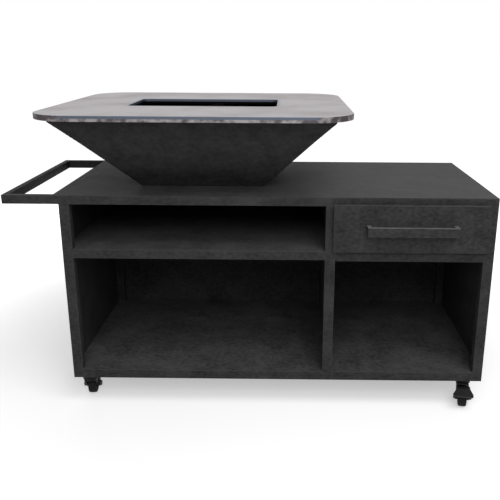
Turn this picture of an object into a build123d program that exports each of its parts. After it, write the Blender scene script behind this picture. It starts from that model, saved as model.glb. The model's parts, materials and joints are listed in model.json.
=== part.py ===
"""Fire pit on a mobile cabinet, one STEP file per piece.

Millimetres, +Z up, the open front faces -Y and the push handle is at -X.
The origin is on the floor, under the middle of the whole object.
"""

import os
from math import hypot

from build123d import *

os.makedirs("parts", exist_ok=True)

# Cabinet
CABINET_WIDTH = 1450.0
CABINET_DEPTH = 660.0
CABINET_HEIGHT = 666.0
SHEET = 2.0
TUBE_WALL = 2.0
POST_WIDTH = 32.0
CENTRE_POST_WIDTH = 34.0
FRAME_DEPTH = 30.0
TOP_RAIL = 28.0
SHELF_RAIL = 30.0
DRAWER_RAIL = 32.0
BOTTOM_RAIL = 32.0
CENTRE_POST_FROM_RIGHT = 549.0
SHELF_LEVEL = 481.0
DRAWER_RAIL_LEVEL = 478.0
GUSSET = 100.0
GUSSET_THICKNESS = 4.0

# Fire bowl, cooking plate and grate
BOWL_FROM_LEFT = 459.0
BOWL_BASE_WIDTH = 430.0
BOWL_BASE_DEPTH = 332.0
BOWL_FLARE = 238.0
BOWL_HEIGHT = 256.0
BOWL_WALL = 4.0
BOWL_BOLT = 10.0
BOWL_BOLT_HEAD = (16.0, 6.5)
BOLT_INSET = 45.0
BOLT_PITCH = 200.0
PLATE_OVERHANG_X = 52.0
PLATE_OVERHANG_Y = 61.0
PLATE_THICKNESS = 18.0
PLATE_CORNER = 140.0
PLATE_EDGE = 1.0
OPENING_WIDTH = 514.0
OPENING_DEPTH = 280.0
OPENING_CORNER = 22.0
LUG_LENGTH = 60.0
LUG_HEIGHT = 30.0
LUG_CLEARANCE = 3.0
GRATE_MARGIN = 16.0
GRATE_BAR = 10.0
GRATE_BAR_COUNT = 13
GRATE_FLAT = 6.0
GRATE_FLAT_HEIGHT = 25.0
GRATE_FOOT = 12.0
GRATE_FOOT_INSET = 35.0
GRATE_LEG = 60.0

# Drawer
FRONT_THICKNESS = 18.0
FRONT_OVERLAP_SIDE = 9.0
FRONT_OVERLAP_TOP = 7.0
FRONT_GAP_BELOW = 5.0
FRONT_STANDOFF = 1.0
FRONT_RETURN = 40.0
BOX_BACK_GAP = 68.0
BOX_MARGIN_BELOW = 12.0
BOX_MARGIN_ABOVE = 26.0
RUNNER_BACK_GAP = 76.0
RUNNER_HEIGHT = 45.0
RUNNER_SKIN = 1.5
RUNNER_CABINET_REACH = 10.0
RUNNER_MIDDLE_REACH = 8.0
RUNNER_DRAWER_REACH = 7.2
RUNNER_STEP = 3.0
BALL_GAP = 3.0
BALL_ROW = 3.0
BALL_CLEARANCE = 0.3
BEARER_HEIGHT = 50.0
HANDLE_LENGTH = 300.0
HANDLE_HEIGHT = 30.0
HANDLE_BAR = 14.0
HANDLE_STANDOFF = 39.0
HANDLE_ROUND = 4.0
HANDLE_SCREW = 5.0
HANDLE_SCREW_HEAD = (8.0, 3.5)
HANDLE_SCREW_GRIP = 13.0

# Push handle
PUSH_REACH = 187.0
PUSH_TUBE_WIDTH = 20.0
PUSH_TUBE_HEIGHT = 30.0
PUSH_BOLT = 8.0
PUSH_BOLT_HEAD = (13.0, 5.5)
PUSH_BOLT_PITCH = 160.0
PUSH_BOLT_COUNT = 4

# Casters
CASTER_HEADROOM = 38.0
CASTER_INSET_LEFT = 40.0
CASTER_INSET_RIGHT = 50.0
CASTER_INSET_Y = 57.0
FRONT_LEFT_HEADING = 185.0
FRONT_RIGHT_HEADING = -10.0
REAR_HEADING = 180.0
CASTER_PLATE = 60.0
CASTER_PLATE_THICKNESS = 3.0
CASTER_HOLE_PITCH = 44.0
CASTER_PLATE_CORNER = 6.0
CASTER_SCREW = 6.0
CASTER_SCREW_HEAD = (10.0, 3.7)
CASTER_TRAIL = 36.0
WHEEL_DIAMETER = 70.0
TYRE_WIDTH = 28.0
TYRE_DEPTH = 9.0
TYRE_SHOULDER = 3.5
HUB_WIDTH = 34.0
HUB_WEB = 8.0
HUB_RIM = 5.0
HUB_BOSS = 5.0
HUB_RIB = 3.0
HUB_RIB_COUNT = 6
RIM_INSET = 2.0
AXLE_DIAMETER = 10.0
AXLE_HEAD = (17.0, 6.4)
AXLE_NUT = 8.0
AXLE_END = 1.5
AXLE_COLLAR = 14.0
FORK_SHEET = 3.0
FORK_EYE_RADIUS = 12.0
FORK_NECK_FRONT = 16.0
FORK_NECK_BACK = 30.0
FORK_NECK_HEIGHT = 8.0
CROWN_RADIUS = 27.0
CROWN_LIP = 4.0
CROWN_RISE = 14.5
CROWN_EDGE = 1.5
RACE_RADIUS = 20.0
RACE_WIDTH = 6.0
RACE_DEPTH = 8.0
KINGPIN_DIAMETER = 10.0
KINGPIN_HEAD = 4.0
PEDAL_SHEET = 2.5
PEDAL_OVER_TYRE = 5.0
PEDAL_START = 2.0
PEDAL_BEND = 22.0
PEDAL_REACH = 52.0
PEDAL_DROP = 16.0
PEDAL_TREAD = 68.0
PEDAL_FLARE = 40.0
PEDAL_ROUND = 6.0
PEDAL_CHEEK = 5.0

# Clearances
HOLE_CLEARANCE = 0.5
RUN_CLEARANCE = 0.05
PLAY = 0.5

# Datums that follow from the sizes above
MIDDLE_X = PUSH_REACH / 2
LEFT = MIDDLE_X - CABINET_WIDTH / 2
RIGHT = MIDDLE_X + CABINET_WIDTH / 2
FRONT = -CABINET_DEPTH / 2
BACK = CABINET_DEPTH / 2
CASTER_HEIGHT = WHEEL_DIAMETER + CASTER_HEADROOM
BASE = CASTER_HEIGHT
TOP = BASE + CABINET_HEIGHT
DECK = TOP - SHEET
POST_LEFT = LEFT + SHEET + POST_WIDTH
POST_RIGHT = RIGHT - SHEET - POST_WIDTH
CENTRE_X = RIGHT - CENTRE_POST_FROM_RIGHT
CENTRE_LEFT = CENTRE_X - CENTRE_POST_WIDTH / 2
CENTRE_RIGHT = CENTRE_X + CENTRE_POST_WIDTH / 2
FRAME_FRONT = FRONT + FRAME_DEPTH
FRAME_BACK = BACK - SHEET - FRAME_DEPTH
FLOOR_LEVEL = BASE + BOTTOM_RAIL
SHELF_Z = BASE + SHELF_LEVEL
DRAWER_RAIL_Z = BASE + DRAWER_RAIL_LEVEL
TOP_RAIL_Z = DECK - TOP_RAIL
BOWL_X = LEFT + BOWL_FROM_LEFT
PLATE_Z = TOP + BOWL_HEIGHT


def save(piece, label):
    """Name a finished piece and write its STEP file."""
    piece.label = label
    export_step(piece, f"parts/{label}.step")


def tube_plane(axis, low, high):
    """Return the start plane, section size and length of a tube that fills a box along an axis."""
    middle = [(a + b) / 2 for a, b in zip(low, high)]
    span = [b - a for a, b in zip(low, high)]
    if axis == "X":
        return Plane((low[0], middle[1], middle[2]), (0, 1, 0), (1, 0, 0)), (span[1], span[2]), span[0]
    if axis == "Y":
        return Plane((middle[0], low[1], middle[2]), (1, 0, 0), (0, 1, 0)), (span[0], span[2]), span[1]
    return Plane((middle[0], middle[1], low[2]), (1, 0, 0), (0, 0, 1)), (span[0], span[1]), span[2]


def tubes(runs, holes=()):
    """Build a node of straight rectangular tubes.

    Each run is (axis, low corner, high corner). Each hole is (plane, diameter) and goes through one wall.
    """
    with BuildPart() as node:
        for axis, low, high in runs:
            plane, size, length = tube_plane(axis, low, high)
            with BuildSketch(plane):
                Rectangle(*size)
                Rectangle(size[0] - 2 * TUBE_WALL, size[1] - 2 * TUBE_WALL, mode=Mode.SUBTRACT)
            extrude(amount=length)
        for plane, diameter in holes:
            with BuildSketch(plane):
                Circle(diameter / 2)
            extrude(amount=1.5 * TUBE_WALL, both=True, mode=Mode.SUBTRACT)
    return node.part


def sheet(low, high, notches=(), holes=()):
    """Build a flat sheet from its box; notches are plan boxes cut away, holes are (plane, diameter)."""
    with BuildPart() as node:
        with BuildSketch(Plane.XY.offset(low[2])):
            with Locations(((low[0] + high[0]) / 2, (low[1] + high[1]) / 2)):
                Rectangle(high[0] - low[0], high[1] - low[1])
            for x0, y0, x1, y1 in notches:
                with Locations(((x0 + x1) / 2, (y0 + y1) / 2)):
                    Rectangle(x1 - x0, y1 - y0, mode=Mode.SUBTRACT)
        extrude(amount=high[2] - low[2])
        for plane, diameter in holes:
            with BuildSketch(plane):
                Circle(diameter / 2)
            extrude(amount=2 * (SHEET + GUSSET_THICKNESS), both=True, mode=Mode.SUBTRACT)
    return node.part


def bolts(places, shank, length, head):
    """Build one node of hex-head bolts.

    Each place is a plane on the head's seat with the shank along its normal. The head is its size
    across flats and its height.
    """
    head_across, head_height = head
    with BuildPart() as node:
        for plane in places:
            with BuildSketch(plane):
                RegularPolygon(head_across / 2, 6, major_radius=False)
            extrude(amount=-head_height)
            with BuildSketch(plane):
                Circle(shank / 2)
            extrude(amount=length)
    return node.part


def facing(point, normal):
    """Return a plane at a point with its normal along a row axis."""
    along = (0, 1, 0) if normal[0] else (1, 0, 0)
    return Plane(point, along, normal)


# Positions shared by holes and fasteners
bowl_bolt_points = [
    (BOWL_X + side * (BOWL_BASE_WIDTH / 2 - BOLT_INSET), end * BOLT_PITCH / 2)
    for side in (-1, 1)
    for end in (-1, 1)
]
caster_columns = {"left": LEFT + CASTER_INSET_LEFT, "right": RIGHT - CASTER_INSET_RIGHT}
caster_points = {
    "front_left": (caster_columns["left"], FRONT + CASTER_INSET_Y, FRONT_LEFT_HEADING),
    "front_right": (caster_columns["right"], FRONT + CASTER_INSET_Y, FRONT_RIGHT_HEADING),
    "rear_left": (caster_columns["left"], BACK - CASTER_INSET_Y, REAR_HEADING),
    "rear_right": (caster_columns["right"], BACK - CASTER_INSET_Y, REAR_HEADING),
}
caster_screw_points = [
    (x + dx * CASTER_HOLE_PITCH / 2, y + dy * CASTER_HOLE_PITCH / 2)
    for x, y, _ in caster_points.values()
    for dx in (-1, 1)
    for dy in (-1, 1)
]
push_bolt_points = [PUSH_BOLT_PITCH * (i - (PUSH_BOLT_COUNT - 1) / 2) for i in range(PUSH_BOLT_COUNT)]
PUSH_BOLT_Z = TOP - PUSH_TUBE_HEIGHT / 2

# Front frame: three full-height posts with the rails cut in between them
save(tubes([("Z", (LEFT + SHEET, FRONT, BASE), (POST_LEFT, FRAME_FRONT, DECK))]), "front_left_post")
save(tubes([("Z", (POST_RIGHT, FRONT, BASE), (RIGHT - SHEET, FRAME_FRONT, DECK))]), "front_right_post")
save(tubes([("Z", (CENTRE_LEFT, FRONT, BASE), (CENTRE_RIGHT, FRAME_FRONT, DECK))]), "centre_post")

bays = ((POST_LEFT, CENTRE_LEFT), (CENTRE_RIGHT, POST_RIGHT))
front_rails = [
    ("X", (x0, FRONT, z0), (x1, FRAME_FRONT, z1))
    for x0, x1 in bays
    for z0, z1 in ((TOP_RAIL_Z, DECK), (BASE, FLOOR_LEVEL))
]
shelf_low = SHELF_Z - SHEET - SHELF_RAIL
front_rails.append(("X", (POST_LEFT, FRONT, shelf_low), (CENTRE_LEFT, FRAME_FRONT, SHELF_Z - SHEET)))
drawer_rail_low = (CENTRE_RIGHT, FRONT, DRAWER_RAIL_Z - DRAWER_RAIL)
front_rails.append(("X", drawer_rail_low, (POST_RIGHT, FRAME_FRONT, DRAWER_RAIL_Z)))
save(tubes(front_rails), "front_rails")

# Rear frame, hidden behind the bays
rear_end = BACK - SHEET
rear_posts = [
    ("Z", (x0, FRAME_BACK, BASE), (x1, rear_end, DECK))
    for x0, x1 in ((LEFT + SHEET, POST_LEFT), (CENTRE_LEFT, CENTRE_RIGHT), (POST_RIGHT, RIGHT - SHEET))
]
save(tubes(rear_posts), "rear_posts")
rear_rails = [("X", (x0, FRAME_BACK, TOP_RAIL_Z), (x1, rear_end, DECK)) for x0, x1 in bays]
rear_rails += [("X", (x0, FRAME_BACK, BASE), (x1, rear_end, FLOOR_LEVEL)) for x0, x1 in bays]
rear_rails.append(("X", (POST_LEFT, FRAME_BACK, shelf_low), (CENTRE_LEFT, rear_end, SHELF_Z - SHEET)))
save(tubes(rear_rails), "rear_rails")

# Side rails, and two bearers under the bowl that take its bolts
side_columns = ((LEFT + SHEET, POST_LEFT), (POST_RIGHT, RIGHT - SHEET))
cross_runs = [("Y", (x0, FRAME_FRONT, TOP_RAIL_Z), (x1, FRAME_BACK, DECK)) for x0, x1 in side_columns]
cross_runs += [("Y", (x0, FRAME_FRONT, BASE), (x1, FRAME_BACK, FLOOR_LEVEL)) for x0, x1 in side_columns]
for bolt_x in sorted({x for x, _ in bowl_bolt_points}):
    half = FRAME_DEPTH / 2
    cross_runs.append(("Y", (bolt_x - half, FRAME_FRONT, TOP_RAIL_Z), (bolt_x + half, FRAME_BACK, DECK)))
cross_holes = [(Plane((x, y, BASE)), CASTER_SCREW + HOLE_CLEARANCE) for x, y in caster_screw_points]
cross_holes += [(Plane((x, y, DECK)), BOWL_BOLT + HOLE_CLEARANCE) for x, y in bowl_bolt_points]
cross_holes += [
    (facing((LEFT + SHEET, y, PUSH_BOLT_Z), (1, 0, 0)), PUSH_BOLT + HOLE_CLEARANCE)
    for y in push_bolt_points
]
save(tubes(cross_runs, cross_holes), "cross_rails")

# Corner gussets that carry the casters
with BuildPart() as gussets:
    for x in (POST_LEFT + GUSSET / 2, POST_RIGHT - GUSSET / 2):
        for y in (FRAME_FRONT + GUSSET / 2, FRAME_BACK - GUSSET / 2):
            with BuildSketch(Plane((x, y, BASE))):
                Rectangle(GUSSET, GUSSET)
            extrude(amount=GUSSET_THICKNESS)
    for x, y in caster_screw_points:
        with BuildSketch(Plane((x, y, BASE))):
            Circle((CASTER_SCREW + HOLE_CLEARANCE) / 2)
        extrude(amount=GUSSET_THICKNESS, mode=Mode.SUBTRACT)
save(gussets.part, "corner_gussets")

# Cladding sheets
post_notches = [
    (x0, y0, x1, y1)
    for x0, x1 in ((LEFT, POST_LEFT), (CENTRE_LEFT, CENTRE_RIGHT), (POST_RIGHT, RIGHT))
    for y0, y1 in ((FRONT, FRAME_FRONT), (FRAME_BACK, BACK))
]
worktop_holes = [(Plane((x, y, DECK)), BOWL_BOLT + HOLE_CLEARANCE) for x, y in bowl_bolt_points]
save(sheet((LEFT, FRONT, DECK), (RIGHT, BACK, TOP), holes=worktop_holes), "worktop_sheet")
floor_low = (LEFT + SHEET, FRONT, FLOOR_LEVEL)
floor_high = (RIGHT - SHEET, rear_end, FLOOR_LEVEL + SHEET)
save(sheet(floor_low, floor_high, post_notches), "floor_sheet")
shelf_sheet_low = (LEFT + SHEET, FRONT, SHELF_Z - SHEET)
shelf_sheet_high = (CENTRE_X - SHEET / 2, rear_end, SHELF_Z)
save(sheet(shelf_sheet_low, shelf_sheet_high, post_notches), "shelf_sheet")
side_holes = [
    (facing((LEFT, y, PUSH_BOLT_Z), (1, 0, 0)), PUSH_BOLT + HOLE_CLEARANCE) for y in push_bolt_points
]
save(sheet((LEFT, FRONT, BASE), (LEFT + SHEET, BACK, DECK), holes=side_holes), "left_side_sheet")
save(sheet((RIGHT - SHEET, FRONT, BASE), (RIGHT, BACK, DECK)), "right_side_sheet")
save(sheet((LEFT + SHEET, rear_end, BASE), (RIGHT - SHEET, BACK, DECK)), "back_sheet")
divider_low = (CENTRE_X - SHEET / 2, FRAME_FRONT, FLOOR_LEVEL + SHEET)
divider_high = (CENTRE_X + SHEET / 2, FRAME_BACK, DECK)
save(sheet(divider_low, divider_high), "divider_sheet")

# Fire bowl: four mitred plates round a floor
BOWL_SLOPE = BOWL_FLARE / BOWL_HEIGHT
WALL_OFFSET = BOWL_WALL * hypot(BOWL_FLARE, BOWL_HEIGHT) / BOWL_HEIGHT


def bowl_half(height, inset=0.0):
    """Return the bowl's half width and half depth at a height above the worktop."""
    grow = BOWL_SLOPE * height - inset
    return BOWL_BASE_WIDTH / 2 + grow, BOWL_BASE_DEPTH / 2 + grow


def bowl_wall(turn):
    """Build one plate of the bowl: its leaning section run along the front, mitred, then turned to its side."""
    step = 1 if turn % 180 == 0 else -1
    along, out = bowl_half(BOWL_HEIGHT)[::step]
    foot_along, foot_out = bowl_half(0.0, WALL_OFFSET)[::step]
    base_out = bowl_half(0.0)[::step][1]
    section = (
        (-base_out, 0.0),
        (-foot_out, 0.0),
        (WALL_OFFSET - out, BOWL_HEIGHT),
        (-out, BOWL_HEIGHT),
    )
    mitres = ((-along, -out), (along, -out), (foot_along, -foot_out), (-foot_along, -foot_out))
    with BuildPart() as wall:
        with BuildSketch(Plane.YZ.offset(-along)):
            with BuildLine():
                Polyline(*section, close=True)
            make_face()
        extrude(amount=2 * along)
        with BuildSketch():
            with BuildLine():
                Polyline(*mitres, close=True)
            make_face()
        extrude(amount=BOWL_HEIGHT, mode=Mode.INTERSECT)
    return wall.part.moved(Location((BOWL_X, 0, TOP), (0, 0, turn)))


for bowl_side, turn in (("front", 0), ("right", 90), ("rear", 180), ("left", 270)):
    save(bowl_wall(turn), f"bowl_{bowl_side}_wall")

floor_half = bowl_half(0.0, WALL_OFFSET)
with BuildPart() as bowl_floor:
    with BuildSketch(Plane((BOWL_X, 0, TOP))):
        Rectangle(2 * floor_half[0], 2 * floor_half[1])
        with Locations(*[(x - BOWL_X, y) for x, y in bowl_bolt_points]):
            Circle((BOWL_BOLT + HOLE_CLEARANCE) / 2, mode=Mode.SUBTRACT)
    extrude(amount=BOWL_WALL)
save(bowl_floor.part, "bowl_floor")
bowl_bolt_planes = [Plane((x, y, TOP + BOWL_WALL), (1, 0, 0), (0, 0, -1)) for x, y in bowl_bolt_points]
bowl_bolt_length = BOWL_WALL + SHEET + TUBE_WALL + BOWL_BOLT
save(bolts(bowl_bolt_planes, BOWL_BOLT, bowl_bolt_length, BOWL_BOLT_HEAD), "bowl_bolts")

# Cooking plate with its fire opening, and the lugs that keep it on the bowl
rim_half = bowl_half(BOWL_HEIGHT)
plate_width = 2 * (rim_half[0] + PLATE_OVERHANG_X)
plate_depth = 2 * (rim_half[1] + PLATE_OVERHANG_Y)
with BuildPart() as cooking_plate:
    with BuildSketch(Plane((BOWL_X, 0, PLATE_Z))):
        RectangleRounded(plate_width, plate_depth, PLATE_CORNER)
        RectangleRounded(OPENING_WIDTH, OPENING_DEPTH, OPENING_CORNER, mode=Mode.SUBTRACT)
    extrude(amount=PLATE_THICKNESS)
    chamfer(cooking_plate.faces().sort_by(Axis.Z)[-1].edges(), PLATE_EDGE)
save(cooking_plate.part, "cooking_plate")

lug_half = bowl_half(BOWL_HEIGHT - LUG_HEIGHT, WALL_OFFSET + LUG_CLEARANCE)
with BuildPart() as plate_lugs:
    with BuildSketch(Plane((BOWL_X, 0, PLATE_Z))):
        for side in (-1, 1):
            with Locations((side * (lug_half[0] - BOWL_WALL / 2), 0)):
                Rectangle(BOWL_WALL, LUG_LENGTH)
            with Locations((0, side * (lug_half[1] - BOWL_WALL / 2))):
                Rectangle(LUG_LENGTH, BOWL_WALL)
    extrude(amount=-LUG_HEIGHT)
save(plate_lugs.part, "plate_lugs")

# Fire grate: flat-bar frame on four legs, round bars between its long sides.
# It stands inside the bowl and lifts out through the opening in the plate.
grate_z = TOP + BOWL_WALL + GRATE_LEG
grate_room = bowl_half(BOWL_WALL + GRATE_LEG, WALL_OFFSET)
grate_width = min(OPENING_WIDTH, 2 * grate_room[0]) - 2 * GRATE_MARGIN
grate_depth = min(OPENING_DEPTH, 2 * grate_room[1]) - 2 * GRATE_MARGIN
grate_inner_depth = grate_depth - 2 * GRATE_FLAT
foot_x = BOWL_BASE_WIDTH / 2 - BOLT_INSET - GRATE_FOOT_INSET
with BuildPart() as grate_frame:
    with BuildSketch(Plane((BOWL_X, 0, grate_z))):
        Rectangle(grate_width, grate_depth)
        Rectangle(grate_width - 2 * GRATE_FLAT, grate_inner_depth, mode=Mode.SUBTRACT)
    extrude(amount=GRATE_FLAT_HEIGHT)
    with BuildSketch(Plane((BOWL_X, 0, grate_z))):
        with GridLocations(2 * foot_x, grate_depth - GRATE_FOOT, 2, 2):
            Rectangle(GRATE_FOOT, GRATE_FOOT)
    extrude(amount=-GRATE_LEG)
save(grate_frame.part, "grate_frame")

grate_pitch = (grate_width - 2 * GRATE_FLAT) / (GRATE_BAR_COUNT + 1)
bar_z = grate_z + GRATE_FLAT_HEIGHT - GRATE_BAR / 2
with BuildPart() as grate_bars:
    with BuildSketch(Plane((BOWL_X, -grate_inner_depth / 2, bar_z), (1, 0, 0), (0, 1, 0))):
        with GridLocations(grate_pitch, 0, GRATE_BAR_COUNT, 1):
            Circle(GRATE_BAR / 2)
    extrude(amount=grate_inner_depth)
save(grate_bars.part, "grate_bars")

# Drawer: folded front, sheet box and bar handle
drawer_middle = (CENTRE_RIGHT + POST_RIGHT) / 2
front_width = POST_RIGHT - CENTRE_RIGHT + 2 * FRONT_OVERLAP_SIDE
front_low = DRAWER_RAIL_Z + FRONT_GAP_BELOW
front_high = TOP_RAIL_Z + FRONT_OVERLAP_TOP
front_back = FRONT - FRONT_STANDOFF
front_face = front_back - FRONT_THICKNESS
front_mid = (front_low + front_high) / 2
screw_offset = (HANDLE_LENGTH - HANDLE_BAR) / 2
handle_screw_points = [(drawer_middle + side * screw_offset, front_mid) for side in (-1, 1)]
with BuildPart() as drawer_front:
    with BuildSketch(facing((drawer_middle, front_back, front_mid), (0, -1, 0))):
        Rectangle(front_width, front_high - front_low)
    extrude(amount=FRONT_THICKNESS)
    with BuildSketch(facing((drawer_middle, front_back, front_mid), (0, -1, 0))):
        Rectangle(front_width - 2 * FRONT_RETURN, front_high - front_low - 2 * FRONT_RETURN)
    extrude(amount=SHEET, mode=Mode.SUBTRACT)
    with BuildSketch(facing((drawer_middle, front_back - SHEET, front_mid), (0, -1, 0))):
        Rectangle(front_width - 2 * SHEET, front_high - front_low - 2 * SHEET)
    extrude(amount=FRONT_THICKNESS - 2 * SHEET, mode=Mode.SUBTRACT)
    for x, z in handle_screw_points:
        with BuildSketch(facing((x, front_back, z), (0, -1, 0))):
            Circle((HANDLE_SCREW + HOLE_CLEARANCE) / 2)
        extrude(amount=FRONT_THICKNESS, mode=Mode.SUBTRACT)
save(drawer_front.part, "drawer_front")

box_low = DRAWER_RAIL_Z + BOX_MARGIN_BELOW
box_high = TOP_RAIL_Z - BOX_MARGIN_ABOVE
runner_width = RUNNER_STEP + RUNNER_STEP + RUNNER_DRAWER_REACH
box_left = CENTRE_RIGHT + runner_width
box_right = POST_RIGHT - runner_width
box_end = FRAME_BACK - BOX_BACK_GAP
runner_z = (box_low + box_high) / 2
save(sheet((box_left, front_back, box_low), (box_right, box_end, box_low + SHEET)), "drawer_bottom")
with BuildPart() as drawer_sides:
    with BuildSketch(Plane.XY.offset(box_low + SHEET)):
        for x in (box_left + SHEET / 2, box_right - SHEET / 2):
            with Locations((x, (front_back + box_end) / 2)):
                Rectangle(SHEET, box_end - front_back)
    extrude(amount=box_high - box_low - SHEET)
save(drawer_sides.part, "drawer_sides")
with BuildPart() as drawer_ends:
    with BuildSketch(Plane.XY.offset(box_low + SHEET)):
        for y in (front_back + SHEET / 2, box_end - SHEET / 2):
            with Locations((drawer_middle, y)):
                Rectangle(box_right - box_left - 2 * SHEET, SHEET)
    extrude(amount=box_high - box_low - SHEET)
save(drawer_ends.part, "drawer_ends")

with BuildPart() as drawer_handle:
    with BuildSketch(Plane((drawer_middle, front_face, front_mid - HANDLE_HEIGHT / 2))):
        with Locations((0, -HANDLE_STANDOFF / 2)):
            Rectangle(HANDLE_LENGTH, HANDLE_STANDOFF)
        with Locations((0, -(HANDLE_STANDOFF - HANDLE_BAR) / 2)):
            Rectangle(HANDLE_LENGTH - 2 * HANDLE_BAR, HANDLE_STANDOFF - HANDLE_BAR, mode=Mode.SUBTRACT)
    extrude(amount=HANDLE_HEIGHT)
    outer = drawer_handle.edges().filter_by(Axis.Z).group_by(Axis.Y)[0]
    fillet(outer, HANDLE_ROUND)
    for x, z in handle_screw_points:
        with BuildSketch(facing((x, front_face, z), (0, -1, 0))):
            Circle((HANDLE_SCREW + HOLE_CLEARANCE) / 2)
        extrude(amount=HANDLE_SCREW_GRIP + HOLE_CLEARANCE, mode=Mode.SUBTRACT)
save(drawer_handle.part, "drawer_handle")
screw_planes = [facing((x, front_face + SHEET, z), (0, -1, 0)) for x, z in handle_screw_points]
save(bolts(screw_planes, HANDLE_SCREW, SHEET + HANDLE_SCREW_GRIP, HANDLE_SCREW_HEAD), "drawer_handle_screws")

# Telescopic runners: cabinet, middle and drawer members nested, with the ball rows on the middle ones
runner_start = FRONT + 2 * FRONT_STANDOFF
runner_length = FRAME_BACK - RUNNER_BACK_GAP - runner_start
runner_sides = ((CENTRE_RIGHT, 1), (POST_RIGHT, -1))
middle_height = RUNNER_HEIGHT - 2 * (RUNNER_SKIN + BALL_GAP)
inner_height = middle_height - 2 * (RUNNER_SKIN + BALL_GAP)
ball_height = BALL_GAP - BALL_CLEARANCE


def channels(offset, reach, height, opens_to_drawer, ball_rows=False):
    """Build a pair of C-shaped runner members, one on each side of the drawer."""
    with BuildPart() as pair:
        for wall_x, inward in runner_sides:
            shift = RUNNER_SKIN if opens_to_drawer else -RUNNER_SKIN
            centre = inward * (offset + reach / 2)
            with BuildSketch(Plane((wall_x, runner_start, runner_z), (1, 0, 0), (0, 1, 0))):
                with Locations((centre, 0)):
                    Rectangle(reach, height)
                with Locations((centre + inward * shift, 0)):
                    Rectangle(reach, height - 2 * RUNNER_SKIN, mode=Mode.SUBTRACT)
                if ball_rows:
                    outer_row = (height + ball_height) / 2
                    inner_row = (height - ball_height) / 2 - RUNNER_SKIN
                    with Locations(*[(centre, z) for z in (-outer_row, -inner_row, inner_row, outer_row)]):
                        Rectangle(BALL_ROW, ball_height)
            extrude(amount=runner_length)
    return pair.part


save(channels(0.0, RUNNER_CABINET_REACH, RUNNER_HEIGHT, True), "runner_cabinet_members")
save(channels(RUNNER_STEP, RUNNER_MIDDLE_REACH, middle_height, True, True), "runner_middle_members")
save(channels(2 * RUNNER_STEP, RUNNER_DRAWER_REACH, inner_height, False), "runner_drawer_members")
bearer_low = runner_z - BEARER_HEIGHT / 2
bearer_high = runner_z + BEARER_HEIGHT / 2
bearers = [
    ("Y", (x0, FRAME_FRONT, bearer_low), (x1, FRAME_BACK, bearer_high))
    for x0, x1 in ((CENTRE_X + SHEET / 2, CENTRE_RIGHT), (POST_RIGHT, RIGHT - SHEET))
]
save(tubes(bearers), "runner_bearers")

# Push handle: mitred grip and arms with a mounting bar against the cabinet side
PUSH_LOW = TOP - PUSH_TUBE_HEIGHT
grip_out = LEFT - PUSH_REACH


def mitred(outline, hollow):
    """Build a tube with mitred ends from its plan outline and the outline of its hollow."""
    with BuildPart() as tube:
        for points, low, high, how in (
            (outline, PUSH_LOW, TOP, Mode.ADD),
            (hollow, PUSH_LOW + TUBE_WALL, TOP - TUBE_WALL, Mode.SUBTRACT),
        ):
            with BuildSketch(Plane.XY.offset(low)):
                with BuildLine():
                    Polyline(*points, close=True)
                make_face()
            extrude(amount=high - low, mode=how)
    return tube.part


def grip_outline(near, far):
    """Plan outline of the grip between two distances in from its outer face."""
    return (
        (grip_out + near, FRONT + near),
        (grip_out + far, FRONT + far),
        (grip_out + far, BACK - far),
        (grip_out + near, BACK - near),
    )


def arm_outline(near, far, side):
    """Plan outline of an arm; side is -1 for the front arm and 1 for the rear arm."""
    edge = side * CABINET_DEPTH / 2
    return (
        (grip_out + near, edge - side * near),
        (LEFT, edge - side * near),
        (LEFT, edge - side * far),
        (grip_out + far, edge - side * far),
    )


full = (0.0, PUSH_TUBE_WIDTH)
inside = (TUBE_WALL, PUSH_TUBE_WIDTH - TUBE_WALL)
save(mitred(grip_outline(*full), grip_outline(*inside)), "push_handle_grip")
save(mitred(arm_outline(*full, -1), arm_outline(*inside, -1)), "push_handle_front_arm")
save(mitred(arm_outline(*full, 1), arm_outline(*inside, 1)), "push_handle_rear_arm")
mount_low = (LEFT - PUSH_TUBE_WIDTH, FRONT + PUSH_TUBE_WIDTH, PUSH_LOW)
mount_high = (LEFT, BACK - PUSH_TUBE_WIDTH, TOP)
mount_holes = [
    (facing((x, y, PUSH_BOLT_Z), (1, 0, 0)), PUSH_BOLT + HOLE_CLEARANCE)
    for x in (mount_low[0], mount_high[0])
    for y in push_bolt_points
]
save(tubes([("Y", mount_low, mount_high)], mount_holes), "push_handle_mount")
push_planes = [facing((mount_low[0], y, PUSH_BOLT_Z), (1, 0, 0)) for y in push_bolt_points]
push_bolt_length = PUSH_TUBE_WIDTH + SHEET + TUBE_WALL + PUSH_BOLT
save(bolts(push_planes, PUSH_BOLT, push_bolt_length, PUSH_BOLT_HEAD), "push_handle_bolts")

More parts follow.
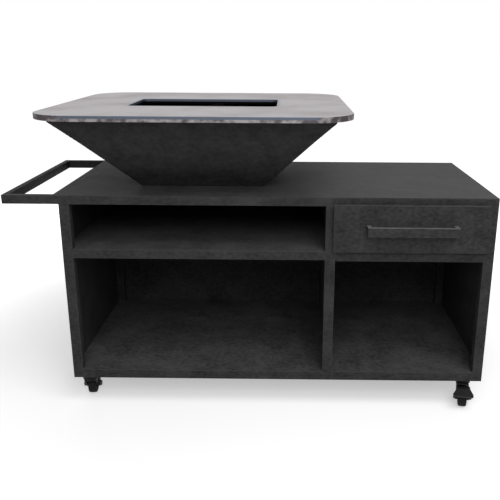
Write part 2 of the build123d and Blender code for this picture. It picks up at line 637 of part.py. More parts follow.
# Casters, drawn once with the swivel axis at the origin and the wheel trailing to -Y
WHEEL_RADIUS = WHEEL_DIAMETER / 2
AXLE_Y = -CASTER_TRAIL
AXLE_Z = WHEEL_RADIUS - CASTER_HEIGHT
race_low = -CASTER_PLATE_THICKNESS - RACE_DEPTH
crown_top = race_low - PLAY
neck_top = crown_top - CROWN_RISE
crown_low = neck_top - FORK_SHEET
pin_radius = KINGPIN_DIAMETER / 2
pin_low = crown_top - FORK_SHEET - PLAY
leg_gap = HUB_WIDTH / 2 + 2 * PLAY
fork_half = leg_gap + FORK_SHEET
with BuildPart() as caster_plate:
    with BuildSketch(Plane.XY.offset(-CASTER_PLATE_THICKNESS)):
        RectangleRounded(CASTER_PLATE, CASTER_PLATE, CASTER_PLATE_CORNER)
        with GridLocations(CASTER_HOLE_PITCH, CASTER_HOLE_PITCH, 2, 2):
            Circle((CASTER_SCREW + HOLE_CLEARANCE) / 2, mode=Mode.SUBTRACT)
    extrude(amount=CASTER_PLATE_THICKNESS)
    with BuildSketch(Plane.XY.offset(race_low)):
        Circle(RACE_RADIUS)
        Circle(RACE_RADIUS - RACE_WIDTH, mode=Mode.SUBTRACT)
    extrude(amount=RACE_DEPTH)
    with BuildSketch(Plane.XY.offset(pin_low)):
        Circle(pin_radius)
    extrude(amount=-CASTER_PLATE_THICKNESS - pin_low)
    with BuildSketch(Plane.XY.offset(pin_low)):
        Circle(pin_radius + KINGPIN_HEAD)
    extrude(amount=-KINGPIN_HEAD)

# Pressed fork: two legs under a hollow dome that turns below the race
neck_length = FORK_NECK_FRONT + FORK_NECK_BACK
neck_middle = (FORK_NECK_FRONT - FORK_NECK_BACK) / 2
crown_profile = (
    (pin_radius + RUN_CLEARANCE, crown_top),
    (RACE_RADIUS - CROWN_EDGE, crown_top),
    (RACE_RADIUS, crown_top - CROWN_EDGE),
    (CROWN_RADIUS - CROWN_LIP, neck_top),
    (CROWN_RADIUS, neck_top),
    (CROWN_RADIUS, crown_low),
    (leg_gap - PLAY, crown_low),
    (RACE_RADIUS - 2 * FORK_SHEET, crown_top - FORK_SHEET),
    (pin_radius + RUN_CLEARANCE, crown_top - FORK_SHEET),
)
with BuildPart() as fork:
    with BuildSketch(Plane.YZ.offset(-fork_half)):
        with Locations((AXLE_Y, AXLE_Z)):
            Circle(FORK_EYE_RADIUS)
        with Locations((neck_middle, neck_top - FORK_NECK_HEIGHT / 2)):
            Rectangle(neck_length, FORK_NECK_HEIGHT)
        make_hull()
    extrude(amount=2 * fork_half)
    with BuildSketch(Plane.XY.offset(crown_low)):
        Rectangle(2 * leg_gap, 2 * (CASTER_TRAIL + CASTER_PLATE))
    extrude(amount=-CASTER_HEIGHT, mode=Mode.SUBTRACT)
    bends = fork.edges().filter_by(Axis.Y).group_by(Axis.Z)[-1]
    fillet(bends, FORK_SHEET - PLAY)
    with BuildSketch(Plane.XY.offset(crown_low)):
        Circle(leg_gap - PLAY)
    extrude(amount=FORK_SHEET, mode=Mode.SUBTRACT)
    with BuildSketch(Plane.XZ):
        with BuildLine():
            Polyline(*crown_profile, close=True)
        make_face()
    revolve(axis=Axis.Z)
    with BuildSketch(Plane.YZ):
        with Locations((AXLE_Y, AXLE_Z)):
            Circle((AXLE_DIAMETER + HOLE_CLEARANCE) / 2)
    extrude(amount=fork_half, both=True, mode=Mode.SUBTRACT)


def axle_bolt(collar):
    """Build an axle bolt and its nut, each with a collar of this length that a brake pedal turns on."""
    reach = fork_half + collar
    seat = facing((-reach, AXLE_Y, AXLE_Z), (1, 0, 0))
    nut_seat = seat.offset(2 * reach)
    bore = AXLE_DIAMETER / 2 + RUN_CLEARANCE
    with BuildPart() as axle:
        add(bolts([seat], AXLE_DIAMETER, 2 * reach + AXLE_NUT + AXLE_END, AXLE_HEAD))
        if collar:
            with BuildSketch(seat):
                Circle(AXLE_COLLAR / 2)
            extrude(amount=collar)
            with BuildSketch(nut_seat):
                Circle(AXLE_COLLAR / 2)
                Circle(bore, mode=Mode.SUBTRACT)
            extrude(amount=-collar)
        with BuildSketch(nut_seat):
            RegularPolygon(AXLE_HEAD[0] / 2, 6, major_radius=False)
            Circle(bore, mode=Mode.SUBTRACT)
        extrude(amount=AXLE_NUT)
    return axle.part


rim_radius = WHEEL_RADIUS - TYRE_DEPTH
bore_radius = AXLE_DIAMETER / 2 + RUN_CLEARANCE
boss_radius = bore_radius + HUB_BOSS
rim_half_width = TYRE_WIDTH / 2 - RIM_INSET
hub_side = (
    (HUB_WIDTH / 2, bore_radius),
    (HUB_WIDTH / 2, boss_radius),
    (HUB_WEB / 2, boss_radius),
    (HUB_WEB / 2, rim_radius - HUB_RIM),
    (rim_half_width, rim_radius - HUB_RIM),
    (rim_half_width, rim_radius),
)
hub_profile = [*hub_side, *[(-x, r) for x, r in reversed(hub_side)]]
wheel_plane = Plane((0, AXLE_Y, AXLE_Z), (1, 0, 0), (0, -1, 0))
wheel_axis = Axis((0, AXLE_Y, AXLE_Z), (1, 0, 0))
rib_length = rim_radius - HUB_RIM / 2 - bore_radius - HUB_BOSS / 2
with BuildPart() as hub:
    with BuildSketch(wheel_plane):
        with BuildLine():
            Polyline(*hub_profile, close=True)
        make_face()
    revolve(axis=wheel_axis)
    with BuildSketch(facing((0, AXLE_Y, AXLE_Z), (1, 0, 0))):
        with PolarLocations(bore_radius + (HUB_BOSS + rib_length) / 2, HUB_RIB_COUNT):
            Rectangle(rib_length, HUB_RIB)
    extrude(amount=rim_half_width - RIM_INSET, both=True)
with BuildPart() as tyre:
    with BuildSketch(wheel_plane) as tread:
        with Locations((0, rim_radius + TYRE_DEPTH / 2)):
            Rectangle(TYRE_WIDTH, TYRE_DEPTH)
        chamfer(tread.vertices().group_by(Axis.Y)[-1], TYRE_SHOULDER)
    revolve(axis=wheel_axis)

# Foot brake of the front casters: a flared tread over the tyre, on two cheeks that turn on the axle's collars
cheek_gap = fork_half + PLAY
pedal_half = cheek_gap + PEDAL_SHEET
pedal_low = AXLE_Z + WHEEL_RADIUS + PEDAL_OVER_TYRE
tread_half = PEDAL_TREAD / 2
tread_line = (
    (AXLE_Y - PEDAL_START, pedal_low),
    (AXLE_Y - PEDAL_BEND, pedal_low),
    (AXLE_Y - PEDAL_REACH, pedal_low - PEDAL_DROP),
)
tread_section = [*tread_line, *[(y, z + PEDAL_SHEET) for y, z in reversed(tread_line)]]
tread_side = (
    (pedal_half, AXLE_Y - PEDAL_START),
    (pedal_half, AXLE_Y - PEDAL_BEND),
    (tread_half, AXLE_Y - PEDAL_FLARE),
    (tread_half, AXLE_Y - PEDAL_REACH),
)
tread_plan = [*tread_side, *[(-x, y) for x, y in reversed(tread_side)]]
with BuildPart() as pedal:
    with BuildSketch(Plane.YZ.offset(-tread_half)):
        with BuildLine():
            Polyline(*tread_section, close=True)
        make_face()
    extrude(amount=PEDAL_TREAD)
    with BuildSketch(Plane.XY.offset(AXLE_Z)) as plan:
        with BuildLine():
            Polyline(*tread_plan, close=True)
        make_face()
        fillet(plan.vertices().group_by(Axis.Y)[0], PEDAL_ROUND)
    extrude(amount=-AXLE_Z, mode=Mode.INTERSECT)
    for cheek in (-pedal_half, cheek_gap):
        with BuildSketch(Plane.YZ.offset(cheek)):
            with Locations((AXLE_Y, AXLE_Z)):
                Circle(FORK_EYE_RADIUS)
            with Locations((AXLE_Y - (PEDAL_START + PEDAL_BEND) / 2, pedal_low - PEDAL_CHEEK / 2)):
                Rectangle(PEDAL_BEND - PEDAL_START, PEDAL_CHEEK)
            make_hull()
        extrude(amount=PEDAL_SHEET)
    with BuildSketch(Plane.YZ):
        with Locations((AXLE_Y, AXLE_Z)):
            Circle(AXLE_COLLAR / 2 + RUN_CLEARANCE)
    extrude(amount=pedal_half, both=True, mode=Mode.SUBTRACT)

plain_axle = axle_bolt(0.0)
braked_axle = axle_bolt(PEDAL_SHEET + 2 * PLAY)
for corner, (x, y, heading) in caster_points.items():
    pieces = {"caster_fork": fork.part, "wheel_hub": hub.part, "tyre": tyre.part, "axle_bolt": plain_axle}
    if corner.startswith("front"):
        pieces.update(axle_bolt=braked_axle, brake_pedal=pedal.part)
    place = Location((x, y, BASE), (0, 0, heading))
    for piece_name, piece in pieces.items():
        save(piece.moved(place), f"{corner}_{piece_name}")
plates = [caster_plate.part.moved(Location((x, y, BASE))) for x, y, _ in caster_points.values()]
with BuildPart() as caster_plates:
    for placed_plate in plates:
        add(placed_plate)
save(caster_plates.part, "caster_plates")
screw_seats = [
    Plane((x, y, BASE - CASTER_PLATE_THICKNESS), (1, 0, 0), (0, 0, 1)) for x, y in caster_screw_points
]
caster_screw_length = CASTER_PLATE_THICKNESS + GUSSET_THICKNESS + CASTER_SCREW
save(bolts(screw_seats, CASTER_SCREW, caster_screw_length, CASTER_SCREW_HEAD), "caster_screws")
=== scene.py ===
"""Looks for the fire pit on its mobile cabinet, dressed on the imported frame.

Metres, in the frame's own axes: +Z up, the open front faces -Y and the push handle is at -X.
Sizes in the classes below are millimetres, apart from the studio's floor and lights.
"""

import json
import logging
import math
from collections.abc import Callable, Iterable, Sequence
from dataclasses import dataclass, replace
from enum import Enum
from functools import cache, partial

import bmesh
import bpy
from mathutils import Euler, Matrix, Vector

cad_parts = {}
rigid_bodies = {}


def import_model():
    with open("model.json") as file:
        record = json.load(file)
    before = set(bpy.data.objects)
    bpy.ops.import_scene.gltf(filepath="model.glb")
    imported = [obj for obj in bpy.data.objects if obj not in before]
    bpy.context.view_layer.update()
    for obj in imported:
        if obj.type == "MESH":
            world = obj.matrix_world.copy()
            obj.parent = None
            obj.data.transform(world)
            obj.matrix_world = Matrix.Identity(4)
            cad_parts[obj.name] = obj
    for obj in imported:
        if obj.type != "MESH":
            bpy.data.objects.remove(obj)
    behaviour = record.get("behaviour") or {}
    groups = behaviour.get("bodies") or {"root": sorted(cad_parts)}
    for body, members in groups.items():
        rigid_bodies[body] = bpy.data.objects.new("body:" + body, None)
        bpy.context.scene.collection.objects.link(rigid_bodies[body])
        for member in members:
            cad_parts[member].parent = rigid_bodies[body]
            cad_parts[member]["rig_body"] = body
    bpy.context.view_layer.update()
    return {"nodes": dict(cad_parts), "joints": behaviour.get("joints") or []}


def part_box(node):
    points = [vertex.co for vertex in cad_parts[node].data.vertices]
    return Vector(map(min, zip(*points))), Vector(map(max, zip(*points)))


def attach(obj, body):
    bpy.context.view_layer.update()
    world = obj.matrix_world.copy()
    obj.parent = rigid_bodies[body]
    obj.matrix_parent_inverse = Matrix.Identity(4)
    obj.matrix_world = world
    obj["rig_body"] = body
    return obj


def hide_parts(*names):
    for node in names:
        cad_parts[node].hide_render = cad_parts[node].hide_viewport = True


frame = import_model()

MM = 0.001
UP = Vector((0, 0, 1))
LOG = logging.getLogger("fire_pit")

# Face attribute that is 1 on eased edges, where a coat is paler for wear and for a painted highlight along
# the edge
WORN_AND_HIGHLIGHT_EDGE = "worn_and_highlight_edge"
# Angles between faces: from the first an edge is eased, from the others smooth shading breaks
EASED_FROM = math.radians(32)
FLATS_BREAK = math.radians(40)
ROD_BREAKS = math.radians(50)
BOLT_BREAKS = math.radians(28)
# What counts as one point and as one flat face when a node's triangles are joined up
SAME_POINT = 0.002 * MM
SAME_FACE = math.radians(0.4)
# Upward shares of a face's normal: steep up to the first; from the second fully dusty and given painted top
# light, from the third ground
STEEP, DUSTY_AND_TOP_LIT, GROUND = 0.8, 0.98, 0.95
# Stretches of patterns and measures that are spread over the whole range from 0 to 1
MARKS = {"From Min": 0.36, "From Max": 0.64}
GRAIN = {"From Min": 0.35, "From Max": 0.65}
TINTS = {"From Min": 0.42, "From Max": 0.72}
BARE_PATCHES = {"From Min": 0.44, "From Max": 0.6}
CORNERS = {"From Min": 0.05, "From Max": 0.3}
RIPPLES = {"From Min": 0.3, "From Max": 0.7}
ROD_SIDES = 16
HEX_SIDES = 6

Ring = list[Vector]
Line = tuple[tuple[float, float], ...]
Node = bpy.types.Node
Adder = Callable[..., Node]
Socket = bpy.types.NodeSocket
Tree = bpy.types.NodeTree
Piece = bpy.types.Object
Shell = bmesh.types.BMesh


class Slot(Enum):
    """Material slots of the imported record."""

    CABINET = "cabinet_black"
    BOWL = "bowl_black"
    PLATE = "plate_steel"
    GRATE = "grate_steel"
    TYRE = "tyre_rubber"
    HUB = "hub_plastic"
    CASTER = "caster_steel"
    RUNNER = "runner_zinc"
    FASTENER = "fastener_steel"


def linear(colour: str) -> tuple[float, float, float, float]:
    """Turn an sRGB hex colour into linear RGBA.

    Args:
        colour: six hex digits after a hash sign.

    Returns:
        The linear colour with full alpha.
    """
    shares = [int(colour[i:i + 2], 16) / 255 for i in (1, 3, 5)]
    straight = [c / 12.92 if c <= 0.04045 else ((c + 0.055) / 1.055) ** 2.4 for c in shares]
    return (*straight, 1.0)


def per_metre(size: float) -> float:
    """Return the texture scale that gives features of a size in millimetres."""
    return 1.0 / (size * MM)


def add_node(
    tree: Tree, kind: str, links: dict[str | int, object] | None = None, **settings: object
) -> Node:
    """Add a node, set its properties and fill its inputs.

    Args:
        tree: the tree that gets the node.
        kind: the node's type name.
        links: inputs in use, by name or place; each takes a node, an output socket or a plain value.
        settings: properties by name.

    Returns:
        The new node.
    """
    made = tree.nodes.new(kind)
    for name, value in settings.items():
        setattr(made, name, value)
    inputs = [socket for socket in made.inputs if socket.enabled]
    for key, value in (links or {}).items():
        entry = inputs[key] if isinstance(key, int) else next(s for s in inputs if s.name == key)
        if isinstance(value, Node):
            value = next(socket for socket in value.outputs if socket.enabled)
        if isinstance(value, Socket):
            tree.links.new(value, entry)
        else:
            entry.default_value = value
    return made


def bare_tree(owner: bpy.types.Material | bpy.types.World) -> Tree:
    """Give a material or world its own nodes.

    Args:
        owner: the new material or world.

    Returns:
        Its node tree, emptied.
    """
    owner.use_nodes = True
    owner.node_tree.nodes.clear()
    return owner.node_tree


def upward(add: Adder, level: float) -> Node:
    """Tell faces that look up from the rest.

    Args:
        add: adds a node to the material's tree.
        level: the upward share of the normal from which a face counts in full.

    Returns:
        A node that gives 1 on such faces and 0 on steep ones.
    """
    facing = add("ShaderNodeNewGeometry").outputs["Normal"]
    height = add("ShaderNodeSeparateXYZ", {0: facing}).outputs[2]
    return add("ShaderNodeMapRange", {"Value": height, "From Min": STEEP, "From Max": level})


def toned(add: Adder, pattern: Node, span: dict[str, float], tones: tuple[str, str]) -> Node:
    """Colour a pattern from one tone to another.

    Args:
        add: adds a node to the material's tree.
        pattern: the pattern's node.
        span: the stretch of the pattern over which the tones change.
        tones: the colours below and above it.

    Returns:
        The colour.
    """
    share = add("ShaderNodeMapRange", {"Value": pattern, **span})
    below, above = map(linear, tones)
    return add("ShaderNodeMix", {0: share, "A": below, "B": above}, data_type="RGBA")


@dataclass(frozen=True)
class Finish:
    """A surface finish that becomes one procedural material."""

    name: str
    slot: Slot

    def surface(self, add: Adder, place: Socket) -> dict[str, object]:
        """Build the pattern nodes.

        Args:
            add: adds a node to the material's tree.
            place: object coordinates in metres.

        Returns:
            Inputs for the surface shader by name.
        """
        raise NotImplementedError

    @cache
    def material(self) -> bpy.types.Material:
        """Build the finish's material on first use.

        Returns:
            The one material of that finish.
        """
        made = bpy.data.materials.new(self.name)
        add = partial(add_node, bare_tree(made))
        place = add("ShaderNodeTexCoord").outputs["Object"]
        shader = add("ShaderNodeBsdfPrincipled", self.surface(add, place))
        add("ShaderNodeOutputMaterial", {"Surface": shader})
        return made


@dataclass(frozen=True)
class Coated(Finish):
    """Baked or painted coat on steel: soft clouds, wiped streaks, a fine peel, dust with painted top light
    on faces that look up, and eased edges paler for wear and a painted highlight.
    """

    dark: str
    light: str
    roughness: tuple[float, float]
    gloss: float
    cloud: float = 90.0
    streak: float = 7.0
    stretch: float = 14.0
    streak_share: float = 0.4
    # A coat's real peel is a millimetre wide or less, and is drawn coarser so that it shows
    peel: float = 2.2
    peel_depth: float = 0.10
    peel_strength: float = 0.35
    # Paler colour of eased edges: wear, and a painted highlight along each edge
    wear_highlight_tone: str = "#414142"
    # Dust on faces that look up; its pale colour is also painted top light, lightening them as if lit from
    # above
    dust: str = "#5c5c5c"
    dust_and_top_light_share: tuple[float, float] = (0.15, 0.48)

    def surface(self, add: Adder, place: Socket) -> dict[str, object]:
        """Mix clouds, streaks, dust with painted top light, and eased edges paler for wear and a painted
        highlight into the colour, and bump the coat's peel.

        Args:
            add: adds a node to the material's tree.
            place: object coordinates in metres.

        Returns:
            Inputs for the surface shader by name.
        """
        cloud = add(
            "ShaderNodeTexNoise",
            {"Vector": place, "Scale": per_metre(self.cloud), "Detail": 6.0, "Roughness": 0.62},
        )
        wiped = add("ShaderNodeMapping", {"Vector": place, "Scale": (1 / self.stretch, 1.0, 1.0)})
        streak = add("ShaderNodeTexNoise", {"Vector": wiped, "Scale": per_metre(self.streak), "Detail": 3.0})
        marks = add("ShaderNodeMix", {0: self.streak_share, "A": cloud, "B": streak}, data_type="FLOAT")
        colour = toned(add, marks, MARKS, (self.dark, self.light))
        # Dust in patches on upward faces, which also paints them lighter as painted top light
        dust = self.dust_and_painted_top_light(add, marks)
        dusted_and_top_lit = add("ShaderNodeMix", {0: dust, "A": colour, "B": linear(self.dust)}, data_type="RGBA")
        # Eased edges turn paler: wear, and a painted highlight
        edge_wear_and_highlight_mask = add("ShaderNodeAttribute", attribute_name=WORN_AND_HIGHLIGHT_EDGE).outputs["Fac"]
        coat_with_edge_highlight = add("ShaderNodeMix", {0: edge_wear_and_highlight_mask, "A": dusted_and_top_lit, "B": linear(self.wear_highlight_tone)}, data_type="RGBA")
        rough = add(
            "ShaderNodeMapRange",
            {"Value": marks, **MARKS, "To Min": self.roughness[0], "To Max": self.roughness[1]},
        )
        peel = add("ShaderNodeTexNoise", {"Vector": place, "Scale": per_metre(self.peel), "Detail": 2.0})
        bump = add(
            "ShaderNodeBump",
            {"Height": peel, "Strength": self.peel_strength, "Distance": self.peel_depth * MM},
        )
        return {"Base Color": coat_with_edge_highlight, "Roughness": rough, "Normal": bump, "Specular IOR Level": self.gloss}

    def dust_and_painted_top_light(self, add: Adder, marks: Node) -> Node:
        """Spread thin dust in patches over faces that look up, which also makes them lighter as painted top
        light.

        Args:
            add: adds a node to the material's tree.
            marks: the coat's clouds and streaks.

        Returns:
            How much dust and painted top light cover the coat, from 0 to 1.
        """
        patches = add(
            "ShaderNodeMapRange",
            {"Value": marks, **MARKS, "To Min": self.dust_and_top_light_share[0], "To Max": self.dust_and_top_light_share[1]},
        )
        return add("ShaderNodeMath", {0: upward(add, DUSTY_AND_TOP_LIT), 1: patches}, operation="MULTIPLY")


@dataclass(frozen=True)
class BareSteel(Finish):
    """Hot-rolled plate with a ground face: faint lines and heat tints, and a two-tone cut edge, its
    blue-grey upper band partly a painted sky reflection.

    Its centre and levels are places in the frame, in metres.
    """

    grey: str
    warm: str
    blue: str
    # Blue-grey of the smooth upper cut, partly a painted reflection of the sky
    smooth_cut_and_sky_reflection: str
    cut_rough: tuple[str, str]
    soot: str
    grazed: str
    centre: tuple[float, float]
    opening: tuple[float, float]
    levels: tuple[float, float]
    # Real grinding lines are a few tenths of a millimetre wide, and are drawn coarser so that they show
    grind: float = 3.0
    grind_stretch: float = 50.0
    grind_depth: float = 0.05
    grind_strength: float = 0.12
    roughness: tuple[float, float] = (0.36, 0.54)
    tint: float = 220.0
    patch: float = 48.0
    blued_band: float = 16.0
    blued_share: float = 0.7
    smooth_share: float = 0.5

    def surface(self, add: Adder, place: Socket) -> dict[str, object]:
        """Tint the ground face, and give the cut edges their smooth and rough bands.

        Args:
            add: adds a node to the material's tree.
            place: object coordinates in metres.

        Returns:
            Inputs for the surface shader by name.
        """
        along = add("ShaderNodeMapping", {"Vector": place, "Scale": (1 / self.grind_stretch, 1.0, 1.0)})
        lines = add("ShaderNodeTexNoise", {"Vector": along, "Scale": per_metre(self.grind), "Detail": 4.0})
        outside = self.distance_from_opening(add, place)
        edge = self.edge_colour(add, place, outside)
        face = self.face_colour(add, place, outside)
        colour = add("ShaderNodeMix", {0: upward(add, GROUND), "A": edge, "B": face}, data_type="RGBA")
        rough = add(
            "ShaderNodeMapRange", {"Value": lines, "To Min": self.roughness[0], "To Max": self.roughness[1]}
        )
        bump = add(
            "ShaderNodeBump",
            {"Height": lines, "Strength": self.grind_strength, "Distance": self.grind_depth * MM},
        )
        return {
            "Base Color": colour, "Roughness": rough, "Normal": bump, "Metallic": 1.0,
            "Specular Tint": linear(self.grazed),
        }

    def distance_from_opening(self, add: Adder, place: Socket) -> Node:
        """Measure how far a point lies outside the fire opening.

        Args:
            add: adds a node to the material's tree.
            place: object coordinates in metres.

        Returns:
            The distance in metres.
        """
        axes = add("ShaderNodeSeparateXYZ", {0: place}).outputs
        reach = []
        for axis in (0, 1):
            offset = add("ShaderNodeMath", {0: axes[axis], 1: self.centre[axis]}, operation="SUBTRACT")
            away = add("ShaderNodeMath", {0: offset}, operation="ABSOLUTE")
            half = self.opening[axis] / 2 * MM
            reach.append(add("ShaderNodeMath", {0: away, 1: half}, operation="SUBTRACT"))
        return add("ShaderNodeMath", {0: reach[0], 1: reach[1]}, operation="MAXIMUM")

    def face_colour(self, add: Adder, place: Socket, outside: Node) -> Node:
        """Colour the ground face, blued in a narrow band round the fire.

        Args:
            add: adds a node to the material's tree.
            place: object coordinates in metres.
            outside: distance from the opening in metres.

        Returns:
            The colour.
        """
        tint = add(
            "ShaderNodeTexNoise",
            {"Vector": place, "Scale": per_metre(self.tint), "Detail": 6.0, "Roughness": 0.58},
        )
        face = toned(add, tint, TINTS, (self.grey, self.warm))
        heat = add(
            "ShaderNodeMapRange",
            {"Value": outside, "From Max": self.blued_band * MM, "To Min": self.blued_share, "To Max": 0.0},
        )
        return add("ShaderNodeMix", {0: heat, "A": face, "B": linear(self.blue)}, data_type="RGBA")

    def edge_colour(self, add: Adder, place: Socket, outside: Node) -> Node:
        """Colour the cut edge: blue-grey above as a smooth cut with a painted sky reflection, rough below
        and round corners, sooted in the opening.

        Args:
            add: adds a node to the material's tree.
            place: object coordinates in metres.
            outside: distance from the opening in metres.

        Returns:
            The colour.
        """
        patches = add(
            "ShaderNodeTexNoise",
            {"Vector": place, "Scale": per_metre(self.patch), "Detail": 3.0, "Roughness": 0.62},
        )
        rough_cut = toned(add, patches, BARE_PATCHES, self.cut_rough)
        fire_side = add("ShaderNodeMath", {0: outside, 1: self.blued_band / 2 * MM}, operation="LESS_THAN")
        lower = add(
            "ShaderNodeMix", {0: fire_side, "A": rough_cut, "B": linear(self.soot)}, data_type="RGBA"
        )
        facing = add("ShaderNodeNewGeometry").outputs["Normal"]
        turn = add("ShaderNodeSeparateXYZ", {0: facing}).outputs
        slant = add("ShaderNodeMath", {0: turn[0], 1: turn[1]}, operation="MULTIPLY")
        bent = add("ShaderNodeMath", {0: slant}, operation="ABSOLUTE")
        corner = add("ShaderNodeMapRange", {"Value": bent, **CORNERS})
        outer = add("ShaderNodeMath", {0: corner, 1: fire_side}, operation="SUBTRACT", use_clamp=True)
        # The upper band: smooth cut with a painted sky reflection, rough at the outer corners
        upper = add(
            "ShaderNodeMix", {0: outer, "A": linear(self.smooth_cut_and_sky_reflection), "B": rough_cut}, data_type="RGBA"
        )
        low, high = self.levels
        middle = high - self.smooth_share * (high - low)
        height = add("ShaderNodeSeparateXYZ", {0: place}).outputs[2]
        rise = add("ShaderNodeMapRange", {"Value": height, "From Min": middle - MM, "From Max": middle + MM})
        return add("ShaderNodeMix", {0: rise, "A": lower, "B": upper}, data_type="RGBA")


@dataclass(frozen=True)
class Grained(Finish):
    """One-colour material with fine grain: rubber, moulded plastic, scaled, plated or oxided steel."""

    dark: str
    light: str
    # Real grain of rubber, nylon and oxide is some tenths of a millimetre, and is drawn coarser to show
    grain: float
    roughness: tuple[float, float]
    metallic: float = 0.0
    gloss: float = 0.5
    depth: float = 0.05
    strength: float = 0.3

    def surface(self, add: Adder, place: Socket) -> dict[str, object]:
        """Vary colour and roughness with the grain, and bump it.

        Args:
            add: adds a node to the material's tree.
            place: object coordinates in metres.

        Returns:
            Inputs for the surface shader by name.
        """
        grain = add(
            "ShaderNodeTexNoise",
            {"Vector": place, "Scale": per_metre(self.grain), "Detail": 4.0, "Roughness": 0.65},
        )
        colour = toned(add, grain, GRAIN, (self.dark, self.light))
        rough = add(
            "ShaderNodeMapRange", {"Value": grain, "To Min": self.roughness[0], "To Max": self.roughness[1]}
        )
        bump = add(
            "ShaderNodeBump", {"Height": grain, "Strength": self.strength, "Distance": self.depth * MM}
        )
        return {
            "Base Color": colour, "Roughness": rough, "Normal": bump, "Metallic": self.metallic,
            "Specular IOR Level": self.gloss,
        }


# Polyester powder coat baked on steel sheet and tube: even soft black, satin, faintly wiped
POWDER_COAT = Coated(
    "satin_black_powder_coat", Slot.CABINET, "#212122", "#3c3c3d", roughness=(0.58, 0.74), gloss=0.09,
    streak=10.0, stretch=1.5, streak_share=0.5,
)
# The same coat where hands rub it: its edges and upper faces are paler, partly wear from hands and partly a
# painted highlight
HANDLED_HIGHLIGHT_COAT = replace(
    POWDER_COAT, name="handled_and_highlighted_powder_coat", wear_highlight_tone="#5c5c5e", dust="#7c7c7e", dust_and_top_light_share=(0.35, 0.6)
)
# The same coat on the push handle's grip, painted darker all over as shade, standing in for the shadow on
# its inner face
SHADED_GRIP_COAT = replace(
    POWDER_COAT, name="grip_painted_shade_powder_coat", dark="#121213", light="#232324", dust_and_top_light_share=(0.0, 0.2)
)
# Silicone heat paint on the bowl: dead flat, an even soft black, sandy to the touch
HEAT_PAINT = Coated(
    "matt_heat_resistant_paint", Slot.BOWL, "#282828", "#3b3b3b", roughness=(0.78, 0.92), gloss=0.08,
    cloud=60.0, streak=16.0, stretch=1.0, peel=2.6, peel_depth=0.16,
)
# Electrophoretic coat on pressed caster steel: thin, smoother black, its eased edges paler as wear and as a
# painted highlight where they catch the light
CASTER_COAT = Coated(
    "black_coated_pressed_steel", Slot.CASTER, "#101011", "#19191a", roughness=(0.42, 0.56), gloss=0.14,
    cloud=18.0, streak=5.0, stretch=1.0, peel=1.4, peel_depth=0.05, wear_highlight_tone="#4c4c4d", dust_and_top_light_share=(0.0, 0.06),
)
# Fired mild steel: brown-black scale, rough and patchy
GRATE_STEEL = Grained(
    "scaled_mild_steel", Slot.GRATE, "#2a2522", "#4b443e", grain=5.0, roughness=(0.62, 0.85), metallic=0.6,
    depth=0.3, strength=0.5,
)
# Black tread rubber: matt, with a dusty grain
TYRE_RUBBER = Grained(
    "black_tread_rubber", Slot.TYRE, "#121212", "#1a1a1a", grain=1.6, roughness=(0.62, 0.8), gloss=0.14
)
# Moulded nylon wheel core: dark grey with the mould's fine spark grain
WHEEL_NYLON = Grained(
    "moulded_dark_nylon", Slot.HUB, "#232426", "#2c2d2f", grain=1.2, roughness=(0.42, 0.55), gloss=0.3
)
# Bright zinc on rolled runner steel: cool grey with a soft spangle
RUNNER_ZINC = Grained(
    "bright_zinc_plate", Slot.RUNNER, "#9fa3a8", "#b7bbc0", grain=9.0, roughness=(0.28, 0.4), metallic=1.0,
    depth=0.02, strength=0.15,
)
# Black oxide on cold-headed bolts: thin oily blue-black
BLACK_OXIDE = Grained(
    "black_oxide_steel", Slot.FASTENER, "#26272a", "#34363a", grain=2.0, roughness=(0.34, 0.5), metallic=0.9,
    depth=0.03,
)


def skin(rings: Sequence[Ring], closed: bool = False) -> Shell:
    """Lay quads between rings of equal count.

    Args:
        rings: rings of points, in order along the surface.
        closed: join the last ring to the first; otherwise both ends get a cap.

    Returns:
        A new closed surface with its faces outward.
    """
    made = bmesh.new()
    rows = [[made.verts.new(point) for point in ring] for ring in rings]
    pairs = list(zip(rows, rows[1:])) + ([(rows[-1], rows[0])] if closed else [])
    for near, far in pairs:
        for i in range(len(near)):
            j = (i + 1) % len(near)
            made.faces.new((near[i], near[j], far[j], far[i]))
    if not closed:
        made.faces.new(rows[0])
        made.faces.new(rows[-1])
    bmesh.ops.recalc_face_normals(made, faces=made.faces)
    return made


def rounded_ring(centre: Vector, half: tuple[float, float], radius: float, steps: int) -> Ring:
    """Return the points of a level rounded rectangle.

    Args:
        centre: its middle.
        half: half its width and half its depth.
        radius: the corners' radius.
        steps: points on each corner's arc.

    Returns:
        The ring, anticlockwise from above.
    """
    points = []
    for corner, (sx, sy) in enumerate(((1, 1), (-1, 1), (-1, -1), (1, -1))):
        middle = centre + Vector((sx * (half[0] - radius), sy * (half[1] - radius), 0))
        for step in range(steps):
            angle = math.radians(90) * (corner + step / (steps - 1))
            points.append(middle + radius * Vector((math.cos(angle), math.sin(angle), 0)))
    return points


def round_ring(centre: Vector, radius: float, along: Vector, count: int) -> Ring:
    """Return the points of a circle about an axis.

    Args:
        centre: the circle's middle.
        radius: its radius.
        along: the axis, a unit vector.
        count: the number of points.

    Returns:
        The ring of points.
    """
    first = along.orthogonal().normalized()
    second = along.cross(first)
    turns = [2 * math.pi * i / count for i in range(count)]
    return [centre + radius * (math.cos(t) * first + math.sin(t) * second) for t in turns]


def new_object(name: str, made: Shell) -> Piece:
    """Turn a bmesh into a linked object and free it.

    Args:
        name: the object's name.
        made: the surface, in place.

    Returns:
        The object, at the origin.
    """
    mesh = bpy.data.meshes.new(name)
    made.to_mesh(mesh)
    made.free()
    piece = bpy.data.objects.new(name, mesh)
    bpy.context.scene.collection.objects.link(piece)
    return piece


